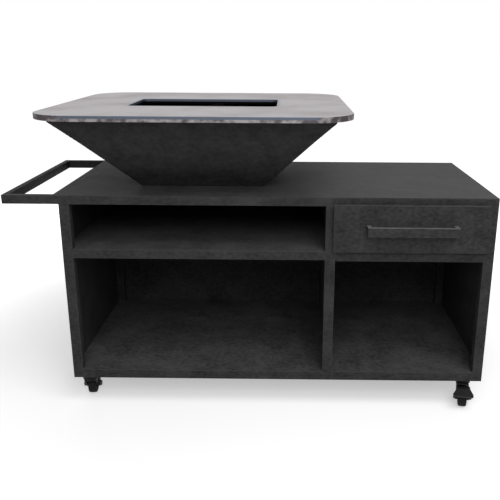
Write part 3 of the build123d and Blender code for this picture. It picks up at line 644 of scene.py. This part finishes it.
def settle(piece: Piece) -> Piece:
    """Turn a piece's modifiers into plain mesh.

    Args:
        piece: the object with its modifiers set.

    Returns:
        The same object without modifiers.
    """
    bpy.context.view_layer.update()
    seen = piece.evaluated_get(bpy.context.evaluated_depsgraph_get())
    plain = bpy.data.meshes.new_from_object(seen)
    piece.modifiers.clear()
    piece.data = plain
    return piece


def ease_edges(piece: Piece, width: float, segments: int = 2) -> Piece:
    """Round a piece's sharp edges a little, as deburred or coated steel is.

    Args:
        piece: the object to soften.
        width: the rounding's width in millimetres.
        segments: the steps across each rounding.

    Returns:
        The same object.
    """
    piece.data.shade_smooth()
    piece.data.set_sharp_from_angle(angle=EASED_FROM)
    for _ in ("flat", "edge"):
        piece.data.materials.append(None)
    rounding = piece.modifiers.new("eased_edges", "BEVEL")
    rounding.width = width * MM
    rounding.segments = segments
    rounding.limit_method = "ANGLE"
    rounding.angle_limit = EASED_FROM
    rounding.harden_normals = True
    rounding.miter_outer = "MITER_ARC"
    rounding.material = 1
    settle(piece)
    faces = piece.data.polygons
    # Flag the eased faces, which the coats paint paler for wear and as a highlight
    wear_highlight_tone = piece.data.attributes.new(WORN_AND_HIGHLIGHT_EDGE, "FLOAT", "FACE")
    wear_highlight_tone.data.foreach_set("value", [float(face.material_index) for face in faces])
    faces.foreach_set("material_index", [0] * len(faces))
    return piece


def smooth_flats(piece: Piece) -> Piece:
    """Shade a piece smoothly while its large faces stay flat.

    Args:
        piece: the object to shade.

    Returns:
        The same object.
    """
    piece.data.shade_smooth()
    piece.data.set_sharp_from_angle(angle=FLATS_BREAK)
    weighted = piece.modifiers.new("flat_faces", "WEIGHTED_NORMAL")
    weighted.keep_sharp = True
    return settle(piece)


def merged(node: str) -> Shell:
    """Return a copy of a node's mesh with its triangles joined up.

    Args:
        node: the node's name.

    Returns:
        A new bmesh with doubles merged and flat faces whole.
    """
    made = bmesh.new()
    made.from_mesh(frame["nodes"][node].data)
    bmesh.ops.remove_doubles(made, verts=made.verts, dist=SAME_POINT)
    bmesh.ops.dissolve_limit(made, angle_limit=SAME_FACE, verts=made.verts, edges=made.edges)
    return made


def solid_boxes(node: str) -> list[tuple[Vector, Vector]]:
    """Return the box of each separate solid in a node.

    Args:
        node: the node's name.

    Returns:
        Lowest and highest corners, in order of X, then Y, then Z.
    """
    made = merged(node)
    waiting = set(made.verts)
    boxes = []
    while waiting:
        group = [waiting.pop()]
        for vert in group:
            near = {edge.other_vert(vert) for edge in vert.link_edges} & waiting
            waiting -= near
            group.extend(near)
        spans = list(zip(*(vert.co for vert in group)))
        boxes.append((Vector(map(min, spans)), Vector(map(max, spans))))
    made.free()
    return sorted(boxes, key=lambda box: tuple(round(x, 4) for x in box[0]))


def dress(piece: Piece, finish: Finish, body: str, replaced: Iterable[str] = ()) -> None:
    """Give a finished piece its material and body.

    Args:
        piece: the finished object.
        finish: its surface.
        body: the body that carries it.
        replaced: nodes that it stands for.
    """
    piece.data.materials.clear()
    piece.data.materials.append(finish.material())
    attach(piece, body)
    if replaced:
        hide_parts(*replaced)
    LOG.info("%s rides %s, %s, %d faces", piece.name, body, finish.name, len(piece.data.polygons))


def eased_node(node: str, finish: Finish, width: float, segments: int = 2) -> None:
    """Replace a node by its copy with softened edges.

    Args:
        node: the node's name.
        finish: its surface.
        width: the edges' rounding in millimetres.
        segments: the steps across each rounding.
    """
    piece = ease_edges(new_object(f"{node}_eased", merged(node)), width, segments)
    dress(piece, finish, frame["nodes"][node]["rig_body"], [node])


def start_tree(name: str, inputs: dict[str, str]) -> Tree:
    """Start a geometry node tree with named inputs.

    Args:
        name: the tree's name.
        inputs: the kind of each input by its name.

    Returns:
        The tree, with no nodes in it.
    """
    tree = bpy.data.node_groups.new(name, "GeometryNodeTree")
    for label, kind in inputs.items():
        tree.interface.new_socket(name=label, in_out="INPUT", socket_type=f"NodeSocket{kind}")
    tree.interface.new_socket(name="Made", in_out="OUTPUT", socket_type="NodeSocketGeometry")
    return tree


def end_tree(add: Adder, made: Node, finish: Socket) -> None:
    """End a geometry node tree in plain mesh with its material.

    Args:
        add: adds a node to the tree.
        made: the node that gives the geometry.
        finish: the material.
    """
    real = add("GeometryNodeRealizeInstances", {0: made})
    dressed = add("GeometryNodeSetMaterial", {"Geometry": real, "Material": finish})
    add("NodeGroupOutput", {"Made": dressed})


@cache
def repeat_tree() -> Tree:
    """Build the geometry node tree that sets a template on every point.

    Returns:
        The tree, built on first use.
    """
    inputs = {
        "Points": "Geometry", "Template": "Object", "Direction": "Vector", "Spin": "Float", "Seed": "Int",
        "Finish": "Material",
    }
    tree = start_tree("repeat_on_points", inputs)
    add = partial(add_node, tree)
    given = add("NodeGroupInput").outputs
    template = add("GeometryNodeObjectInfo", {"Object": given["Template"]}).outputs["Geometry"]
    facing = add("FunctionNodeAlignRotationToVector", {"Vector": given["Direction"]}, axis="Z")
    chance = add("FunctionNodeRandomValue", {"Max": given["Spin"], "Seed": given["Seed"]}, data_type="FLOAT")
    about = add("FunctionNodeAxisAngleToRotation", {"Axis": UP, "Angle": chance})
    turned = add(
        "FunctionNodeRotateRotation", {"Rotation": facing, "Rotate By": about}, rotation_space="LOCAL"
    )
    placed = add(
        "GeometryNodeInstanceOnPoints", {"Points": given["Points"], "Instance": template, "Rotation": turned}
    )
    end_tree(add, placed, given["Finish"])
    return tree


@cache
def rod_tree() -> Tree:
    """Build the geometry node tree that lays an uneven round rod along every edge.

    Returns:
        The tree, built on first use.
    """
    inputs = {
        "Paths": "Geometry", "Radius": "Float", "Thinnest": "Float", "Ripple": "Float", "Step": "Float",
        "Seed": "Float", "Finish": "Material",
    }
    tree = start_tree("rods_along_edges", inputs)
    add = partial(add_node, tree)
    given = add("NodeGroupInput").outputs
    paths = add("GeometryNodeMeshToCurve", {"Mesh": given["Paths"]})
    fine = add("GeometryNodeResampleCurve", {"Curve": paths, "Length": given["Step"]}, mode="LENGTH")
    uneven = add(
        "ShaderNodeTexNoise", {"Scale": given["Ripple"], "W": given["Seed"], "Detail": 1.0},
        noise_dimensions="4D",
    )
    share = add("ShaderNodeMapRange", {"Value": uneven, **RIPPLES, "To Min": given["Thinnest"]})
    size = add("ShaderNodeMath", {0: share, 1: given["Radius"]}, operation="MULTIPLY")
    outline = add(
        "GeometryNodeCurvePrimitiveCircle", {"Resolution": ROD_SIDES, "Radius": 1.0}, mode="RADIUS"
    )
    rods = add(
        "GeometryNodeCurveToMesh",
        {"Curve": fine, "Profile Curve": outline, "Scale": size, "Fill Caps": True},
    )
    end_tree(add, rods, given["Finish"])
    return tree


def run_tree(name: str, start: Shell, tree: Tree, values: dict[str, object]) -> Piece:
    """Run a geometry node tree on a mesh and keep the plain result.

    Args:
        name: the new object's name.
        start: the mesh that enters the tree.
        tree: the node tree.
        values: the tree's inputs by name.

    Returns:
        The object, with no modifier left on it.
    """
    piece = new_object(name, start)
    modifier = piece.modifiers.new(tree.name, "NODES")
    modifier.node_group = tree
    for socket in tree.interface.items_tree:
        if socket.item_type == "SOCKET" and socket.name in values:
            modifier[socket.identifier] = values[socket.name]
    return settle(piece)


@dataclass(frozen=True)
class Rod:
    """Uneven round rod, a forged bar or the bead of a weld; thinnest is a share of its radius."""

    radius: float
    thinnest: float
    ripple: float
    step: float
    seed: int

    def lay(
        self, name: str, runs: Iterable[tuple[Vector, Vector]], finish: Finish, body: str,
        replaced: Iterable[str] = (),
    ) -> None:
        """Lay a rod along each straight run.

        Args:
            name: the piece's name.
            runs: first and last point of each run.
            finish: the rods' surface.
            body: the body that carries them.
            replaced: nodes that they stand for.
        """
        paths = bmesh.new()
        for ends in runs:
            paths.edges.new([paths.verts.new(point) for point in ends])
        values = {
            "Radius": self.radius * MM,
            "Thinnest": self.thinnest,
            "Ripple": per_metre(self.ripple),
            "Step": self.step * MM,
            "Seed": float(self.seed),
            "Finish": finish.material(),
        }
        piece = run_tree(name, paths, rod_tree(), values)
        piece.data.set_sharp_from_angle(angle=ROD_BREAKS)
        dress(piece, finish, body, replaced)


@dataclass(frozen=True)
class HexBolt:
    """Flanged hex-head bolt, drawn along +Z with its seat at the origin.

    Its flange and head are lines of heights and reaches, in shares of the head's height and of the
    hexagon's corner radius. The shank starts inside the flange and ends in a slight taper.
    """

    across: float
    height: float
    shank: float
    length: float
    seed: int
    flange_line: Line = ((0.0, 1.12), (0.121, 1.12), (0.22, 0.98))
    head_line: Line = ((0.132, 1.0), (0.86, 1.0), (1.0, 0.84))
    shank_start: float = 0.088
    tip: float = 0.8
    tip_reach: float = 0.82
    flange_points: int = 28
    shank_points: int = 18

    def template(self) -> Piece:
        """Build one bolt as closed shells: flange, chamfered head and shank.

        Returns:
            The template object, to be removed after use.
        """
        corner = self.across / math.sqrt(3) * MM
        top = self.height * MM
        end = -self.length * MM
        radius = self.shank / 2 * MM
        flange, head = [
            [(height * top, reach * corner) for height, reach in line]
            for line in (self.flange_line, self.head_line)
        ]
        rod = [
            (self.shank_start * top, radius), (end + self.tip * MM, radius), (end, self.tip_reach * radius)
        ]
        made = bmesh.new()
        for line, count in ((flange, self.flange_points), (head, HEX_SIDES), (rod, self.shank_points)):
            shell = skin([round_ring(level * UP, reach, UP, count) for level, reach in line])
            mesh = bpy.data.meshes.new("bolt_shell")
            shell.to_mesh(mesh)
            shell.free()
            made.from_mesh(mesh)
            bpy.data.meshes.remove(mesh)
        return new_object("bolt_template", made)

    def set_on(self, name: str, node: str, direction: Vector, body: str) -> None:
        """Put bolts in place of a node's plain ones, with their heads' tops level with those.

        Args:
            name: the piece's name.
            node: the node that they stand for.
            direction: the axis that the heads point along.
            body: the body that carries them.
        """
        seats = bmesh.new()
        for low, high in solid_boxes(node):
            reach = abs((high - low).dot(direction)) / 2 - self.height * MM
            seats.verts.new((low + high) / 2 + reach * direction)
        template = self.template()
        values = {
            "Template": template,
            "Direction": direction,
            "Spin": math.tau / HEX_SIDES,
            "Seed": self.seed,
            "Finish": BLACK_OXIDE.material(),
        }
        piece = run_tree(name, seats, repeat_tree(), values)
        bpy.data.objects.remove(template)
        piece.data.set_sharp_from_angle(angle=BOLT_BREAKS)
        dress(piece, BLACK_OXIDE, body, [node])


@dataclass
class Carcass:
    """Cabinet frame and cladding."""

    tube_ease: float = 1.4
    sheet_ease: float = 0.7
    tubes: tuple[str, ...] = (
        "front_left_post", "front_right_post", "centre_post", "front_rails", "rear_posts", "rear_rails",
        "cross_rails", "runner_bearers",
    )
    sheets: tuple[str, ...] = (
        "worktop_sheet", "floor_sheet", "shelf_sheet", "left_side_sheet", "right_side_sheet", "back_sheet",
        "divider_sheet", "corner_gussets",
    )

    def build(self) -> None:
        """Soften every tube's and sheet's edges and coat them."""
        for node in self.tubes:
            eased_node(node, POWDER_COAT, self.tube_ease)
        for node in self.sheets:
            eased_node(node, POWDER_COAT, self.sheet_ease)


@dataclass
class FireBowl:
    """Flared bowl with softly bent corners, its bolts and its corner welds.

    The base's bend is drawn by rises and insets in shares of its size, and a weld's depth in the corner
    and its distance from the rim are shares of the bead's radius.
    """

    corner: float = 3.0
    corner_steps: int = 7
    base_bend: float = 3.0
    bend_line: Line = ((0.0, 0.8), (0.15, 0.3))
    wall: float = 4.0
    bolt: HexBolt = HexBolt(across=16.0, height=6.5, shank=10.0, length=18.0, seed=3)
    weld: Rod = Rod(radius=3.2, thinnest=0.72, ripple=5.0, step=1.6, seed=11)
    weld_inset: float = 0.5
    weld_below_rim: float = 2.0

    def build(self) -> None:
        """Build the bowl as one welded shell with an inner and an outer face."""
        floor_low, floor_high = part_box("bowl_floor")
        rim_low, rim_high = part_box("bowl_front_wall")
        rear_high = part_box("bowl_rear_wall")[1]
        middle = Vector(((rim_low.x + rim_high.x) / 2, (rim_low.y + rear_high.y) / 2, 0))
        base, rim = rim_low.z, rim_high.z
        slope = self.slope()
        slant = self.wall * MM * math.hypot(1.0, slope)
        half_rim = ((rim_high.x - rim_low.x) / 2, (rear_high.y - rim_low.y) / 2)
        half_base = [(floor_high[i] - floor_low[i]) / 2 + slant for i in (0, 1)]
        bend = self.base_bend * MM
        levels = [(base + rise * bend, half_base, inset * bend) for rise, inset in self.bend_line]
        levels += [
            (base + bend, half_base, -slope * bend),
            (rim, half_rim, 0.0),
            (rim, half_rim, slant),
            (floor_high.z, half_base, slant - slope * (floor_high.z - base)),
        ]
        rings = []
        for level, half, inset in levels:
            shape = (half[0] - inset, half[1] - inset)
            rings.append(rounded_ring(middle + level * UP, shape, self.corner * MM, self.corner_steps))
        shell = smooth_flats(new_object("fire_bowl_shell", skin(rings)))
        sides = [f"bowl_{side}_wall" for side in ("front", "rear", "left", "right")]
        dress(shell, HEAT_PAINT, "cabinet", [*sides, "bowl_floor"])
        self.bolt.set_on("bowl_bolt_set", "bowl_bolts", UP, "cabinet")
        bead = self.weld.radius * MM
        sink = slant + self.weld_inset * bead
        foot = Vector((half_base[0] - sink, half_base[1] - sink, floor_high.z))
        lip = Vector((half_rim[0] - sink, half_rim[1] - sink, rim - self.weld_below_rim * bead))
        corners = [Vector((side, end, 1)) for side in (-1, 1) for end in (-1, 1)]
        runs = [(middle + foot * turn, middle + lip * turn) for turn in corners]
        self.weld.lay("bowl_corner_welds", runs, HEAT_PAINT, "cabinet")

    @staticmethod
    def slope() -> float:
        """Measure the lean of the bowl's walls.

        Returns:
            How far a wall leans out for each unit that it rises.
        """
        low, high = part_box("bowl_left_wall")
        floor_low, floor_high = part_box("bowl_floor")
        run = (high.y - low.y) / 2 - (floor_high.y - floor_low.y) / 2
        return run / (high.z - low.z)


@dataclass
class CookingPlate:
    """Thick steel plate with its centring lugs."""

    opening: tuple[float, float] = (514.0, 280.0)
    plate_ease: float = 0.9
    lug_ease: float = 0.6

    def finish(self) -> BareSteel:
        """Lay out the plate's finish on its own place in the frame.

        Returns:
            Bare hot-rolled steel, ground on its face and flame cut at its edges.
        """
        low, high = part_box("cooking_plate")
        # Pale warm grey with faint lines, blued next to the fire, on edges smooth above with a painted sky
        # reflection and torn below
        return BareSteel(
            name="ground_hot_rolled_steel",
            slot=Slot.PLATE,
            grey="#bab7b8",
            warm="#a49c9d",
            blue="#8d97a3",
            smooth_cut_and_sky_reflection="#525863",
            cut_rough=("#4d4749", "#878384"),
            soot="#0b0b0d",
            grazed="#d2d2d4",
            centre=tuple((low + high).xy / 2),
            opening=self.opening,
            levels=(low.z, high.z),
        )

    def build(self) -> None:
        """Soften the plate's edges and lay its finish on it."""
        finish = self.finish()
        eased_node("cooking_plate", finish, self.plate_ease, segments=3)
        eased_node("plate_lugs", finish, self.lug_ease)


@dataclass
class FireGrate:
    """Lift-out grate."""

    frame_ease: float = 0.8
    bar: Rod = Rod(radius=5.0, thinnest=0.88, ripple=18.0, step=3.0, seed=2)

    def build(self) -> None:
        """Soften the frame, and lay scaled bars in place of the plain ones."""
        eased_node("grate_frame", GRATE_STEEL, self.frame_ease)
        runs = []
        for low, high in solid_boxes("grate_bars"):
            middle = (low + high) / 2
            runs.append((Vector((middle.x, low.y, middle.z)), Vector((middle.x, high.y, middle.z))))
        self.bar.lay("grate_bar_set", runs, GRATE_STEEL, "grate", ["grate_bars"])


@dataclass
class Drawer:
    """Drawer front, box, handle and runners."""

    front_ease: float = 1.2
    handle_ease: float = 1.0
    box_ease: float = 0.5
    runner_ease: float = 0.3
    screw: HexBolt = HexBolt(across=8.0, height=3.5, shank=5.0, length=15.0, seed=9)

    def build(self) -> None:
        """Soften the folded front, the handle, the box and the runners, and set the handle's screws."""
        eased_node("drawer_front", POWDER_COAT, self.front_ease, segments=3)
        # The handle's coat has paler edges and top: wear from hands and a painted highlight
        eased_node("drawer_handle", HANDLED_HIGHLIGHT_COAT, self.handle_ease, segments=3)
        for part in ("bottom", "sides", "ends"):
            eased_node(f"drawer_{part}", POWDER_COAT, self.box_ease)
        for part in ("cabinet", "middle", "drawer"):
            eased_node(f"runner_{part}_members", RUNNER_ZINC, self.runner_ease)
        self.screw.set_on("drawer_handle_screw_set", "drawer_handle_screws", Vector((0, 1, 0)), "drawer")


@dataclass
class PushHandle:
    """Side handle frame and its bolts."""

    tube_ease: float = 1.4
    bolt: HexBolt = HexBolt(across=13.0, height=5.5, shank=8.0, length=32.0, seed=5)

    def build(self) -> None:
        """Soften the tubes and set the bolts on the mounting bar."""
        # The grip's darker coat is painted shade
        eased_node("push_handle_grip", SHADED_GRIP_COAT, self.tube_ease)
        for part in ("front_arm", "rear_arm", "mount"):
            eased_node(f"push_handle_{part}", POWDER_COAT, self.tube_ease)
        self.bolt.set_on("push_handle_bolt_set", "push_handle_bolts", Vector((-1, 0, 0)), "cabinet")


@dataclass
class Casters:
    """Four swivel casters, the front ones with a foot brake.

    The cover's profile gives distances from the swivel's axis and heights above the floor. The leaf's
    clamp, height, radius and sweep, in degrees, are taken from the wheel's axis.
    """

    steel_ease: float = 0.8
    pedal_ease: float = 0.7
    hub_ease: float = 0.5
    tread_crown: float = 0.6
    shoulder: float = 4.5
    shoulder_steps: int = 7
    tread_points: int = 96
    screw: HexBolt = HexBolt(across=10.0, height=3.7, shank=6.0, length=13.0, seed=7)
    corners: tuple[str, ...] = ("front_left", "front_right", "rear_left", "rear_right")
    braked: tuple[str, ...] = ("front_left", "front_right")
    leaf_sheet: float = 1.6
    leaf_width: float = 34.0
    leaf_height: float = 43.1
    leaf_clamp: tuple[float, float] = (62.0, 54.0)
    leaf_radius: float = 38.0
    leaf_sweep: tuple[float, float] = (52.0, -4.0)
    leaf_steps: int = 12
    leaf_ease: float = 0.3
    cover_points: int = 56
    cover_profile: Line = (
        (21.2, 100.6), (27.0, 100.6), (28.4, 99.9), (28.9, 98.6), (28.5, 97.3), (27.5, 96.2), (27.7, 94.6),
        (28.0, 84.6), (27.4, 82.4), (26.4, 81.9), (24.6, 81.9), (24.6, 95.8), (21.2, 98.2),
    )

    def build(self) -> None:
        """Build the tyres and covers, soften the pressed steel and set the screws."""
        for corner in self.corners:
            self.build_tyre(corner)
            self.build_cover(corner)
            eased_node(f"{corner}_wheel_hub", WHEEL_NYLON, self.hub_ease)
            eased_node(f"{corner}_caster_fork", CASTER_COAT, self.steel_ease)
            eased_node(f"{corner}_axle_bolt", BLACK_OXIDE, self.steel_ease)
        for corner in self.braked:
            eased_node(f"{corner}_brake_pedal", CASTER_COAT, self.pedal_ease)
            self.build_leaf(corner)
        eased_node("caster_plates", CASTER_COAT, self.steel_ease)
        self.screw.set_on("caster_screw_set", "caster_screws", -UP, "cabinet")

    @staticmethod
    def axis_of(name: str) -> tuple[Vector, Vector]:
        """Return a joint's place and its unit axis."""
        joint = next(joint for joint in frame["joints"] if joint["name"] == name)
        return Vector(joint["pos_m"]), Vector(joint["axis"]).normalized()

    def build_cover(self, corner: str) -> None:
        """Build the dust cover pressed over the swivel's race: a rolled rim and a short skirt.

        Args:
            corner: the caster's name.
        """
        pin, up = self.axis_of(f"{corner}_swivel")
        foot = pin - pin.dot(up) * up
        rings = [
            round_ring(foot + height * MM * up, reach * MM, up, self.cover_points)
            for reach, height in self.cover_profile
        ]
        cover = smooth_flats(new_object(f"{corner}_swivel_cover", skin(rings, closed=True)))
        dress(cover, CASTER_COAT, f"{corner}_fork")

    def build_leaf(self, corner: str) -> None:
        """Build the brake's spring leaf: clamped under the crown, folded and laid over the tyre.

        Args:
            corner: the caster's name.
        """
        middle, along = self.axis_of(f"{corner}_wheel_spin")
        pin, up = self.axis_of(f"{corner}_swivel")
        back = ((pin - middle) - (pin - middle).dot(up) * up).normalized()
        line = [(reach, self.leaf_height) for reach in self.leaf_clamp]
        first, last = self.leaf_sweep
        for step in range(self.leaf_steps + 1):
            angle = math.radians(first + (last - first) * step / self.leaf_steps)
            line.append((self.leaf_radius * math.sin(angle), self.leaf_radius * math.cos(angle)))
        made = bmesh.new()
        left, right = [
            [made.verts.new(middle + (y * back + z * up + side * along) * MM) for y, z in line]
            for side in (-self.leaf_width / 2, self.leaf_width / 2)
        ]
        for i in range(len(line) - 1):
            made.faces.new((left[i], right[i], right[i + 1], left[i + 1]))
        leaf = new_object(f"{corner}_brake_leaf", made)
        sheet = leaf.modifiers.new("sheet", "SOLIDIFY")
        sheet.thickness = self.leaf_sheet * MM
        sheet.offset = 0.0
        sheet.use_even_offset = True
        dress(ease_edges(settle(leaf), self.leaf_ease), BLACK_OXIDE, f"{corner}_fork")

    def build_tyre(self, corner: str) -> None:
        """Build one tyre with round shoulders and a slight crown.

        Args:
            corner: the caster's name.
        """
        middle, along = self.axis_of(f"{corner}_wheel_spin")
        points = [vert.co - middle for vert in frame["nodes"][f"{corner}_tyre"].data.vertices]
        half = max(point.dot(along) for point in points)
        reaches = [(point - point.dot(along) * along).length for point in points]
        radius, bore = max(reaches), min(reaches)
        bend = self.shoulder * MM
        out, rise = half - bend, radius - self.tread_crown * MM - bend
        side = []
        for step in range(self.shoulder_steps):
            angle = math.radians(90) * step / (self.shoulder_steps - 1)
            side.append((out + bend * math.cos(angle), rise + bend * math.sin(angle)))
        profile = [(half, bore), *side, (0.0, radius)]
        profile += [(-x, r) for x, r in reversed(profile[:-1])]
        rings = [round_ring(middle + x * along, r, along, self.tread_points) for x, r in profile]
        tyre = smooth_flats(new_object(f"{corner}_tyre_tread", skin(rings, closed=True)))
        dress(tyre, TYRE_RUBBER, f"{corner}_wheel", [f"{corner}_tyre"])


@dataclass(frozen=True)
class SoftBox:
    """One soft studio light, in metres and watts."""

    name: str
    place: tuple[float, float, float]
    aim: tuple[float, float, float]
    size: tuple[float, float]
    watts: float

    def light(self) -> None:
        """Add the light to the scene."""
        lamp = bpy.data.lights.new(self.name, "AREA")
        lamp.shape = "RECTANGLE"
        lamp.size, lamp.size_y = self.size
        lamp.energy = self.watts
        made = bpy.data.objects.new(self.name, lamp)
        made.location = self.place
        made.rotation_euler = (Vector(self.aim) - Vector(self.place)).to_track_quat("-Z", "Y").to_euler()
        bpy.context.scene.collection.objects.link(made)


@dataclass
class Studio:
    """Pale floor, white surroundings, soft lights and the photograph's camera.

    The floor's sizes are metres. The photograph's edge, focal length and optical centre are pixels, and
    the camera's place is millimetres from the middle of the cabinet's underside, its turn degrees.
    """

    floor_half: float = 60.0
    floor_tone: str = "#e4e4e4"
    ambient: float = 0.25
    shadow_reach: tuple[float, float] = (0.75, 2.2)
    floor_lift: tuple[float, float] = (0.42, 0.84)
    photo_edge: float = 500.0
    focal: float = 654.6
    optical_centre: tuple[float, float] = (281.0, 236.1)
    sensor: float = 36.0
    camera_from_cabinet: tuple[float, float, float] = (29.8, -2420.2, 1156.2)
    camera_turn: tuple[float, float, float] = (73.395, -0.307, 0.619)
    boxes: tuple[SoftBox, ...] = (
        SoftBox("front_key", (1.3, -2.0, 3.7), (0.0, 0.0, 0.4), (2.6, 2.0), 72.0),
        SoftBox("front_fill", (0.3, -3.2, 2.35), (0.0, 0.0, 0.35), (2.4, 1.2), 50.0),
        SoftBox("low_rear_fill", (-0.9, 3.3, 0.62), (0.0, 0.0, 0.42), (2.8, 0.4), 46.0),
    )

    def build(self) -> None:
        """Set up everything round the object."""
        bpy.context.scene.view_settings.view_transform = "Standard"
        self.build_world()
        self.build_floor()
        for box in self.boxes:
            box.light()
        self.build_camera()

    def seen(self, add: Adder) -> Node:
        """Tell rays that show the surroundings from rays that light the object.

        Args:
            add: adds a node to the tree that asks.

        Returns:
            A node that gives 1 for rays that show them and 0 for the others.
        """
        path = add("ShaderNodeLightPath").outputs
        rays = {0: path["Is Glossy Ray"], 1: path["Is Transmission Ray"]}
        mirror = add("ShaderNodeMath", rays, operation="MAXIMUM")
        return add("ShaderNodeMath", {0: path["Is Camera Ray"], 1: mirror}, operation="MAXIMUM")

    def build_world(self) -> None:
        """Make the surroundings white where they are seen and softer where they light."""
        world = bpy.data.worlds.new("white_studio")
        bpy.context.scene.world = world
        add = partial(add_node, bare_tree(world))
        level = add("ShaderNodeMapRange", {"Value": self.seen(add), "To Min": self.ambient, "To Max": 1.0})
        sky = add("ShaderNodeBackground", {"Color": (1.0, 1.0, 1.0, 1.0), "Strength": level})
        add("ShaderNodeOutputWorld", {"Surface": sky})

    def build_floor(self) -> None:
        """Lay a pale floor that keeps the object's shadow."""
        made = bmesh.new()
        bmesh.ops.create_grid(made, x_segments=2, y_segments=2, size=self.floor_half)
        floor = new_object("studio_floor", made)
        tone = bpy.data.materials.new("pale_floor")
        add = partial(add_node, bare_tree(tone))
        matt = add("ShaderNodeBsdfDiffuse", {"Color": linear(self.floor_tone)})
        place = add("ShaderNodeTexCoord").outputs["Object"]
        away = add("ShaderNodeVectorMath", {0: place}, operation="LENGTH")
        near, far = self.shadow_reach
        low, high = self.floor_lift
        lift = add(
            "ShaderNodeMapRange",
            {"Value": away, "From Min": near, "From Max": far, "To Min": low, "To Max": high},
            interpolation_type="SMOOTHSTEP",
        )
        shown = add("ShaderNodeMath", {0: lift, 1: self.seen(add)}, operation="MULTIPLY")
        glow = add("ShaderNodeEmission", {"Strength": shown})
        both = add("ShaderNodeAddShader", {0: matt, 1: glow})
        add("ShaderNodeOutputMaterial", {"Surface": both})
        floor.data.materials.append(tone)

    def build_camera(self) -> None:
        """Place the camera where the photograph was taken from."""
        lens = bpy.data.cameras.new("photo_camera")
        lens.sensor_width = self.sensor
        lens.lens = self.focal / self.photo_edge * self.sensor
        lens.shift_x = 0.5 - self.optical_centre[0] / self.photo_edge
        lens.shift_y = self.optical_centre[1] / self.photo_edge - 0.5
        low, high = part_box("left_side_sheet")[0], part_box("right_side_sheet")[1]
        underside = Vector(((low.x + high.x) / 2, (low.y + high.y) / 2, low.z))
        camera = bpy.data.objects.new("photo_camera", lens)
        camera.location = underside + Vector(self.camera_from_cabinet) * MM
        camera.rotation_euler = Euler([math.radians(angle) for angle in self.camera_turn])
        bpy.context.scene.collection.objects.link(camera)
        bpy.context.scene.camera = camera


def main() -> None:
    """Build the object's looks, then the studio round it."""
    logging.basicConfig(level=logging.INFO, format="%(name)s: %(message)s")
    for part in (Carcass(), FireBowl(), CookingPlate(), FireGrate(), Drawer(), PushHandle(), Casters()):
        part.build()
    Studio().build()


if __name__ == "__main__":
    main()
